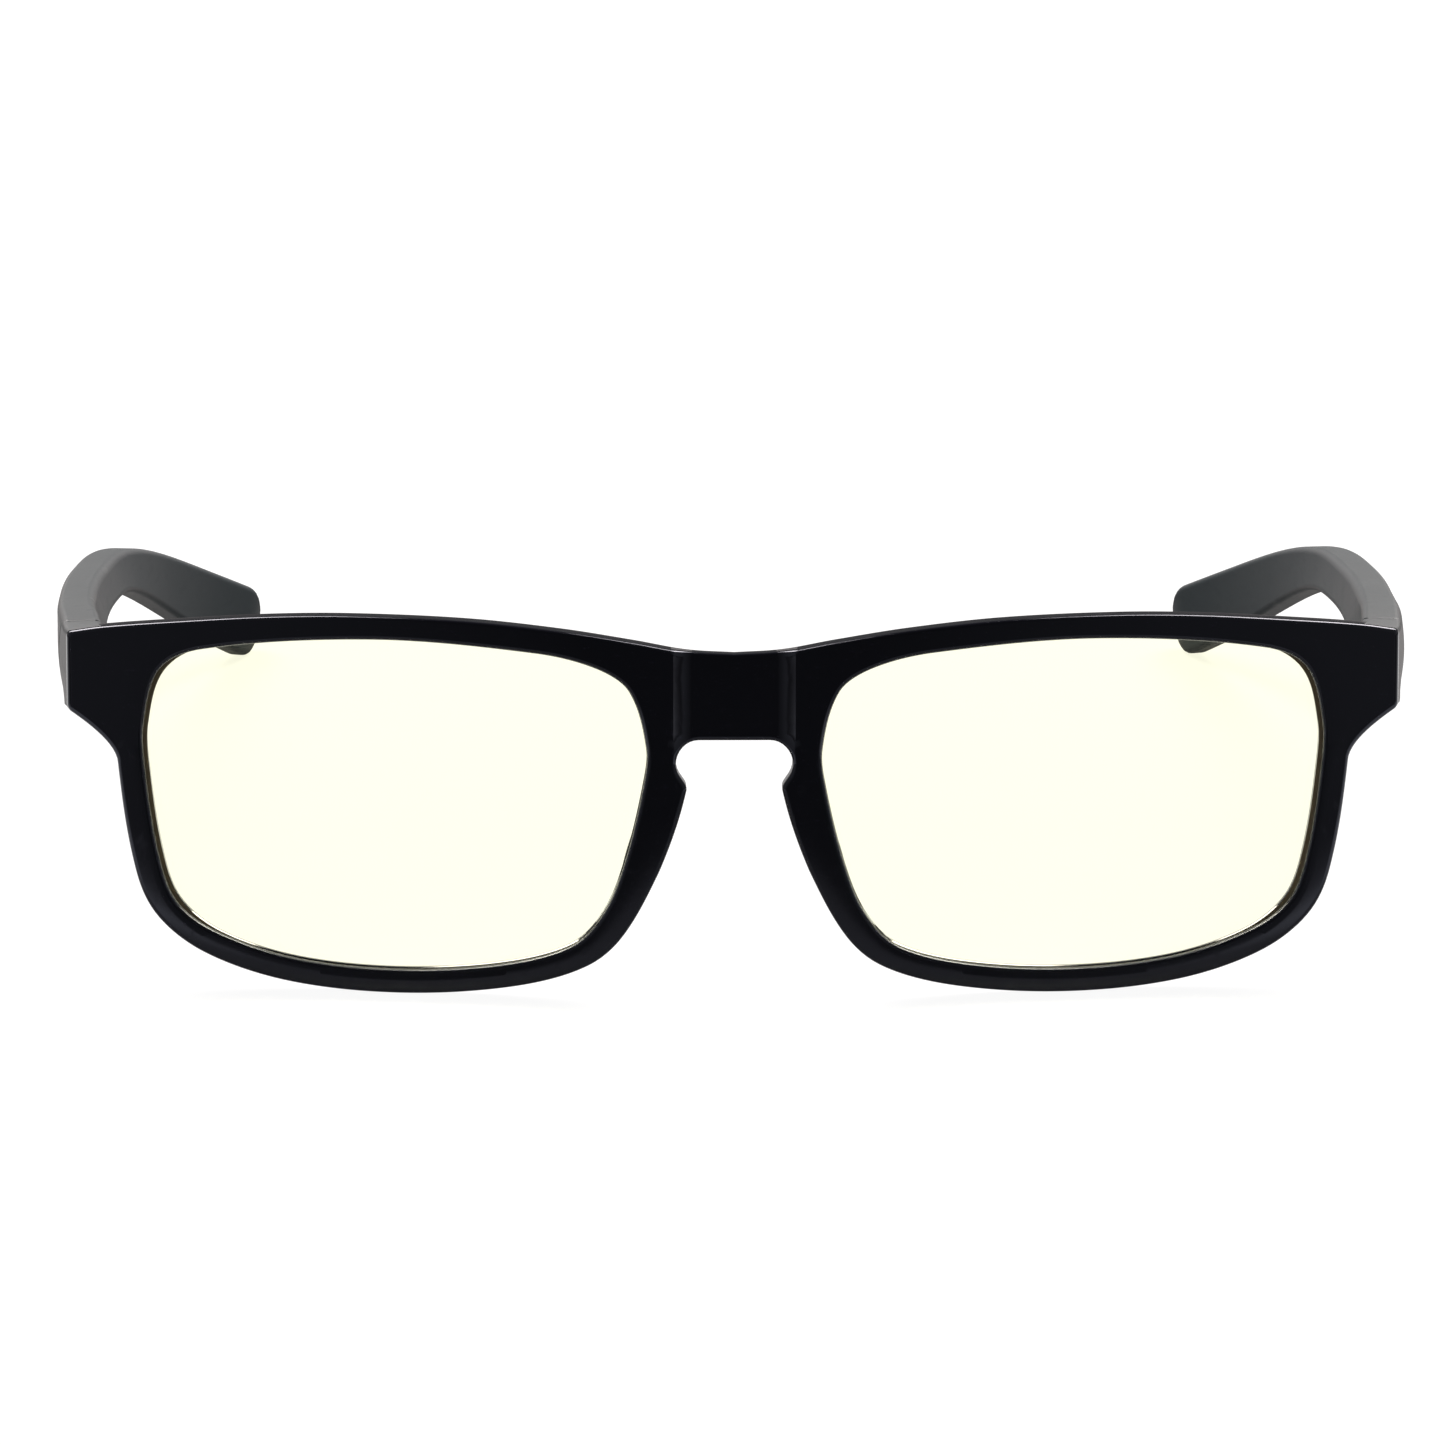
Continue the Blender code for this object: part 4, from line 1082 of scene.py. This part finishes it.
def front_mesh(shape):
    """Both halves of the front with rounded edges, lens grooves and end-pieces."""
    inner, outer, starts = half_outlines()
    bm = bmesh.new()
    in_groove = bm.verts.layers.int.new("groove")
    loops = tube(bm, front_rings(inner, outer, starts["end_top"], starts["end_foot"]))
    outer_front, bezel, outer_back, wall_back = loops[2:6]
    # The three rings of the lens groove keep sharp edges
    for loop in loops[7:10]:
        for vert in loop:
            vert[in_groove] = 1
    draw_end(bm, bezel, outer_back, wall_back, starts)
    plane = set(range(starts["plane"], len(inner))) | {0}
    on_plane = {loop[index] for index in plane for loop in (outer_front, bezel, outer_back)}
    inside = [face for face in bm.faces if set(face.verts) <= on_plane]
    bmesh.ops.delete(bm, geom=inside, context="FACES")
    weld(bm)
    mirror = Matrix.Identity(4)
    bmesh.ops.mirror(bm, geom=everything(bm), matrix=mirror, merge_dist=MIRROR_GAP, axis="X")
    weld(bm)
    outward(bm)
    edges = []
    for edge in bm.edges:
        creased = edge.is_manifold and edge.calc_face_angle(0.0) > FRONT_CREASE
        if creased and edge.is_convex and not any(vert[in_groove] for vert in edge.verts):
            edges.append(edge)
    rounded(bm, edges, shape.edge_round, shape.bevel_segments)
    sink_saddle(bm, shape.saddle_round)
    return bm


class GLASSES_OT_front(bpy.types.Operator):
    """Builds the moulded front with its bridge and end-pieces"""

    bl_idname = "glasses.front"
    bl_label = "Front"

    def execute(self, context):
        shape, finish = context.scene.glasses_shape, context.scene.glasses_finish
        materials = (material(black_gloss, finish), material(soft_grey, finish))
        front = to_object(front_mesh(shape), "front_moulding", materials=materials)
        rooms = []
        for side, name in SIDES:
            rooms += hinge_room(-1, side, name, shape.round_sides)
        carve(front, rooms)
        smooth(front)
        seat(front, "front", "gloss_black_moulding", "front_frame")
        return {"FINISHED"}


def lens_mesh(sides):
    """Lens with ball-shaped faces, a bevelled edge and a band of ground edge round its front."""
    places = evenly(opening_point, 0, len(OPENING), sides)
    edge = [(opening_point(place), opening_normal(place)) for place in places]
    centre = Vector((LENS_MIDDLE, 0))
    faces = [[blend(centre, point, share) for point, _ in edge] for share in LENS_RINGS]
    bezel = [bezel_point(*pair) for pair in edge]
    apex = [point + normal * LENS_BEVEL for point, normal in edge]
    rings = []
    layers = ((0, [*faces, bezel]), (LENS_THICKNESS / 2, [apex]), (LENS_THICKNESS, faces[::-1]))
    for depth, outlines in layers:
        for outline in outlines:
            rings.append([Vector((p.x, lens_sag(p.x, p.y) + depth, p.y)) for p in outline])
    bm = bmesh.new()
    loops = tube(bm, rings)
    band = {vert for loop in loops[len(faces) - 1 : len(faces) + 1] for vert in loop}
    coat(face for face in bm.faces if set(face.verts) <= band)
    cap(bm, loops[0])
    cap(bm, loops[-1])
    return bm


class GLASSES_OT_lenses(bpy.types.Operator):
    """Builds both lenses"""

    bl_idname = "glasses.lenses"
    bl_label = "Lenses"

    def execute(self, context):
        shape, finish = context.scene.glasses_shape, context.scene.glasses_finish
        materials = (material(tinted_lens, finish), material(ground_edge, finish))
        for side, name in SIDES:
            bm = lens_mesh(shape.lens_sides)
            lens = to_object(bm, f"lens_blank_{name}", side, materials=materials)
            lens.data.shade_smooth()
            lens.data.set_sharp_from_angle(angle=LENS_CREASE)
            seat(lens, "front", "pale_yellow_lens", f"lens_{name}")
        return {"FINISHED"}


def pad_mesh():
    """Egg-shaped pad, cut off flat where it is bonded to the back of the nasal rim."""
    ends = (NOTCH_PLACE, NOTCH_START)
    upper, lower = (opening_point(end) + opening_normal(end) * PAD_INSET for end in ends)
    tilt = math.atan2(lower.x - upper.x, upper.y - lower.y)
    foot = blend(upper, lower, (PAD_MIDDLE_HEIGHT - upper.y) / (lower.y - upper.y))
    splay = Matrix.Identity(4)
    splay[0][1] = PAD_SPLAY
    behind = front_sag(foot.x) + FRONT_DEPTH
    turn = Matrix.Translation((foot.x, behind, foot.y)) @ Matrix.Rotation(-tilt, 4, "Y")
    slope = Vector((-foot.x / FRONT_RADIUS, 1, 0)).normalized()
    bm = bmesh.new()
    bmesh.ops.create_uvsphere(bm, u_segments=PAD_SIDES, v_segments=PAD_RINGS, radius=1)
    bmesh.ops.scale(bm, vec=(PAD_WIDTH / 2, PAD_DEPTH, PAD_LENGTH / 2), verts=bm.verts[:])
    bmesh.ops.transform(bm, matrix=turn @ splay, verts=bm.verts[:])
    base = (foot.x, behind + PAD_BOND, foot.y)
    cut = bmesh.ops.bisect_plane(
        bm, geom=everything(bm), plane_co=base, plane_no=slope, clear_inner=True
    )
    rim = [item for item in cut["geom_cut"] if isinstance(item, bmesh.types.BMEdge)]
    bmesh.ops.edgeloop_fill(bm, edges=rim)
    return bm


class GLASSES_OT_nose_pads(bpy.types.Operator):
    """Builds the pads behind the nasal rims"""

    bl_idname = "glasses.nose_pads"
    bl_label = "Nose pads"

    def execute(self, context):
        gloss = material(black_gloss, context.scene.glasses_finish)
        for side, name in SIDES:
            pad = to_object(pad_mesh(), f"nose_rest_{name}", side, materials=(gloss,))
            smooth(pad)
            seat(pad, "front", "gloss_black_moulding", f"nose_pad_{name}")
        return {"FINISHED"}


def add_barrel(bm, index, way, edge, sides):
    """One turned barrel with its bore, and the web that joins it to its leaf."""
    bottom = HINGE_BOTTOM + index * (KNUCKLE_HEIGHT + KNUCKLE_GAP)
    top = bottom + KNUCKLE_HEIGHT
    bore = SCREW_RADIUS + SCREW_CLEARANCE
    ring = bmesh.new()
    corners = ((bore, bottom), (KNUCKLE_RADIUS, bottom), (KNUCKLE_RADIUS, top), (bore, top))
    line_through(ring, [(x, 0, z) for x, z in corners])
    rounded(ring, ring.verts[:] + ring.edges[:], edge, METAL_SEGMENTS, "VERTICES")
    turned(ring, sides)
    outward(ring)
    low, high = sorted((way * bore * WEB_START, way * (LEAF_START + HINGE_CLEARANCE)))
    web_inner = max(LEAF_INNER, bore + WEB_MARGIN)
    web = block((web_inner, low, bottom + edge), (LEAF_OUTER, high, top - edge))
    for part in (ring, web):
        mesh = bpy.data.meshes.new("part")
        part.to_mesh(mesh)
        part.free()
        bm.from_mesh(mesh)
        bpy.data.meshes.remove(mesh)


def leaf_mesh(way, length, shape):
    """Hinge leaf with every other barrel. way is 1 on the temple and -1 on the front."""
    low, high = sorted((way * LEAF_START, way * length))
    bm = block((LEAF_INNER, low, HINGE_BOTTOM), (LEAF_OUTER, high, HINGE_TOP))
    rounded(bm, bm.edges[:], shape.metal_round, METAL_SEGMENTS)
    for index in range(0 if way < 0 else 1, KNUCKLE_COUNT, 2):
        add_barrel(bm, index, way, shape.metal_round, shape.round_sides)
    return bm


def screw_mesh(sides):
    """Turned pin with a domed head."""
    base = HINGE_TOP + SCREW_CLEARANCE
    profile = []
    for step in range(DOME_STEPS + 1):
        turn = math.pi / 2 * step / DOME_STEPS
        height = blend(DOME_START, 1.0, math.cos(turn)) * SCREW_HEAD_HEIGHT
        profile.append((SCREW_HEAD_RADIUS * math.sin(turn), base + height))
    profile += [
        (SCREW_HEAD_RADIUS, base),
        (SCREW_RADIUS, base),
        (SCREW_RADIUS, HINGE_BOTTOM),
        (0.0, HINGE_BOTTOM),
    ]
    bm = bmesh.new()
    line_through(bm, [(x, 0, z) for x, z in profile], closed=False)
    turned(bm, sides)
    return bm


def slot_mesh(shape):
    """What the driver slot takes out of a screw's head."""
    top = HINGE_TOP + SCREW_CLEARANCE + SCREW_HEAD_HEIGHT
    bm = block(
        (-shape.slot_width / 2, -2 * SCREW_HEAD_RADIUS, top - shape.slot_depth),
        (shape.slot_width / 2, 2 * SCREW_HEAD_RADIUS, top + SCREW_HEAD_HEIGHT),
    )
    turn = Matrix.Rotation(SLOT_TURN, 3, "Z")
    bmesh.ops.rotate(bm, cent=(0, 0, 0), matrix=turn, verts=bm.verts[:])
    return bm


class GLASSES_OT_hinges(bpy.types.Operator):
    """Builds the five-barrel hinges and their slotted screws"""

    bl_idname = "glasses.hinges"
    bl_label = "Hinges"

    def execute(self, context):
        shape = context.scene.glasses_shape
        steel = (material(satin_steel, context.scene.glasses_finish),)
        for side, name in SIDES:
            for way, label, length, body, node in (
                (-1, "front_hinge", FRONT_LEAF_LENGTH, "front", "hinge_front_leaf"),
                (1, "arm_hinge", TEMPLE_LEAF_LENGTH, f"temple_arm_{name}", "hinge_temple_leaf"),
            ):
                bm = leaf_mesh(way, length, shape)
                leaf = to_object(bm, f"{label}_{name}", side, TABLE @ HINGE, steel)
                smooth(leaf)
                seat(leaf, body, "hinge_steel", f"{node}_{name}")
            bm = screw_mesh(shape.round_sides)
            screw = to_object(bm, f"hinge_pin_{name}", side, TABLE @ HINGE, steel)
            carve(screw, [to_object(slot_mesh(shape), f"slot_{name}", side, TABLE @ HINGE)])
            smooth(screw)
            seat(screw, "front", "hinge_steel", f"hinge_screw_{name}")
        return {"FINISHED"}


def arm_mesh(shape):
    """Sections along the bowed and dropped path, closing in a rounded tip."""
    path = temple_path()
    straight = TEMPLE_LENGTH - TEMPLE_TIP_ROUND
    stops = [(straight * step / shape.temple_steps, 1.0) for step in range(shape.temple_steps)]
    for step in range(TIP_STEPS):
        turn = math.pi / 2 * step / TIP_STEPS
        stops.append((straight + TEMPLE_TIP_ROUND * math.sin(turn), math.cos(turn)))
    rings = []
    for travelled, share in stops:
        thickness, height, slant = temple_size(travelled)
        spot, side, up = path[round(PATH_STEPS * travelled / TEMPLE_LENGTH)]
        middle = spot - side * slant * height / 2
        corner = min(TEMPLE_EDGE_ROUND, TEMPLE_EDGE_SHARE * thickness * share)
        section = temple_section(thickness * share, height * share, corner, slant)
        rings.append([middle + side * x + up * z for x, z in section])
    bm = bmesh.new()
    loops = tube(bm, rings)
    cap(bm, loops[0])
    cap(bm, loops[-1])
    outward(bm)
    rounded(bm, loop_edges(bm, loops[0]), shape.edge_round, shape.bevel_segments)
    return bm


class GLASSES_OT_temples(bpy.types.Operator):
    """Builds the soft temples with their bent tips, and finishes the strips inside them"""

    bl_idname = "glasses.temples"
    bl_label = "Temples"

    def execute(self, context):
        shape, finish = context.scene.glasses_shape, context.scene.glasses_finish
        grey = (material(soft_grey, finish),)
        for side, name in SIDES:
            temple = to_object(arm_mesh(shape), f"arm_{name}", side, TABLE @ HINGE, grey)
            carve(temple, hinge_room(1, side, name, shape.round_sides))
            smooth(temple)
            seat(temple, f"temple_arm_{name}", "soft_touch_grey", f"temple_{name}")
            core = frame["nodes"][f"temple_core_{name}"]
            core.data.materials.clear()
            core.data.materials.append(material(spring_steel, finish))
        return {"FINISHED"}


def lay_floor():
    bm = bmesh.new()
    bmesh.ops.create_grid(bm, x_segments=1, y_segments=1, size=1)
    bmesh.ops.scale(bm, vec=FLOOR_SIZE, verts=bm.verts[:])
    bmesh.ops.translate(bm, vec=FLOOR_PLACE, verts=bm.verts[:])
    floor = to_object(bm, "floor", place=Matrix.Identity(4), materials=(material(white_floor),))


def surround(scene):
    """White to the camera and through a lens, dim in the gloss but for its sides, weak as a light."""
    world = bpy.data.worlds.new("studio")
    scene.world = world
    graph = Graph(world)
    across = graph.across(graph.node("ShaderNodeTexCoord", out="Generated"))
    level = BACKDROP_MIDDLE
    for gain, low, high in BACKDROP_SIDES:
        level += gain * graph.ramp(across, low, high)
    strength = graph.seen(level) + BACKDROP_LIGHT * graph.ray("Is Diffuse Ray")
    graph.set(graph.tree.nodes["Background"], {"Color": (1, 1, 1, 1), "Strength": strength})


def hang_lamp(name, side, power):
    """Lamp behind the glasses, on one side."""
    data = bpy.data.lights.new(name, "AREA")
    data.shape = "RECTANGLE"
    data.size, data.size_y = LAMP_SIZE
    data.energy = power
    data.color = LAMP_COLOUR
    place, aim = (Vector((side * x, y, z)) for x, y, z in (LAMP_PLACE, LAMP_AIM))
    lamp = bpy.data.objects.new(name, data)
    lamp.location = place
    lamp.rotation_euler = (aim - place).to_track_quat("-Z", "Y").to_euler()
    bpy.context.scene.collection.objects.link(lamp)


def aim_camera(scene, stage):
    """Camera before the front, raised and turned a little, that sees the bridge at its pixel."""
    data = bpy.data.cameras.new("camera")
    data.sensor_width = SENSOR_WIDTH
    data.lens = stage.focal
    data.clip_start = CLIP_START
    bridge = Vector(BRIDGE_PLACE)
    up, turn = stage.elevation, stage.azimuth
    back = Vector((math.sin(turn) * math.cos(up), -math.cos(turn) * math.cos(up), math.sin(up)))
    place = bridge + back * stage.distance
    right = (-back).cross(Vector((0, 0, 1))).normalized()
    above = right.cross(-back)
    scale = stage.distance / (stage.focal / SENSOR_WIDTH * PICTURE_SIZE)
    across, down = (pixel - PICTURE_SIZE / 2 for pixel in BRIDGE_PIXEL)
    aim = bridge - right * across * scale + above * down * scale
    look = (TABLE.to_3x3() @ (aim - place)).to_track_quat("-Z", "Y")
    roll = Matrix.Rotation(stage.roll, 3, "Z").to_quaternion()
    camera = bpy.data.objects.new("camera", data)
    camera.matrix_world = Matrix.LocRotScale(TABLE @ place, look @ roll, None)
    scene.collection.objects.link(camera)
    scene.camera = camera


class GLASSES_OT_stage(bpy.types.Operator):
    """Sets the floor, the lamps, the surroundings and the camera"""

    bl_idname = "glasses.stage"
    bl_label = "Stage"

    def execute(self, context):
        scene, stage = context.scene, context.scene.glasses_stage
        lay_floor()
        surround(scene)
        for side, name in SIDES:
            hang_lamp(f"behind_{name}", side, stage.lamp_power)
        aim_camera(scene, stage)
        scene.view_settings.view_transform = "Standard"
        return {"FINISHED"}


OPERATORS = (
    GLASSES_OT_front,
    GLASSES_OT_lenses,
    GLASSES_OT_nose_pads,
    GLASSES_OT_hinges,
    GLASSES_OT_temples,
    GLASSES_OT_stage,
)


class GLASSES_PT_panel(bpy.types.Panel):
    """Lists the settings and the pieces of the glasses"""

    bl_idname = "GLASSES_PT_panel"
    bl_label = "Glasses"
    bl_space_type = "VIEW_3D"
    bl_region_type = "UI"
    bl_category = "Glasses"

    def draw(self, context):
        scene = context.scene
        for group in (scene.glasses_shape, scene.glasses_finish, scene.glasses_stage):
            box = self.layout.box()
            for name in group.bl_rna.properties.keys():
                if name not in ("rna_type", "name"):
                    box.prop(group, name)
        for operator in OPERATORS:
            self.layout.operator(operator.bl_idname)


GROUPS = {
    "glasses_shape": ShapeSettings,
    "glasses_finish": FinishSettings,
    "glasses_stage": StageSettings,
}
CLASSES = (*GROUPS.values(), *OPERATORS, GLASSES_PT_panel)


def register():
    for item in CLASSES:
        bpy.utils.register_class(item)
    for name, group in GROUPS.items():
        setattr(bpy.types.Scene, name, PointerProperty(type=group))


def unregister():
    for name in GROUPS:
        delattr(bpy.types.Scene, name)
    for item in reversed(CLASSES):
        bpy.utils.unregister_class(item)


def main():
    register()
    bpy.ops.glasses.front()
    bpy.ops.glasses.lenses()
    bpy.ops.glasses.nose_pads()
    bpy.ops.glasses.hinges()
    bpy.ops.glasses.temples()
    bpy.ops.glasses.stage()
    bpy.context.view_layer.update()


if __name__ == "__main__":
    main()
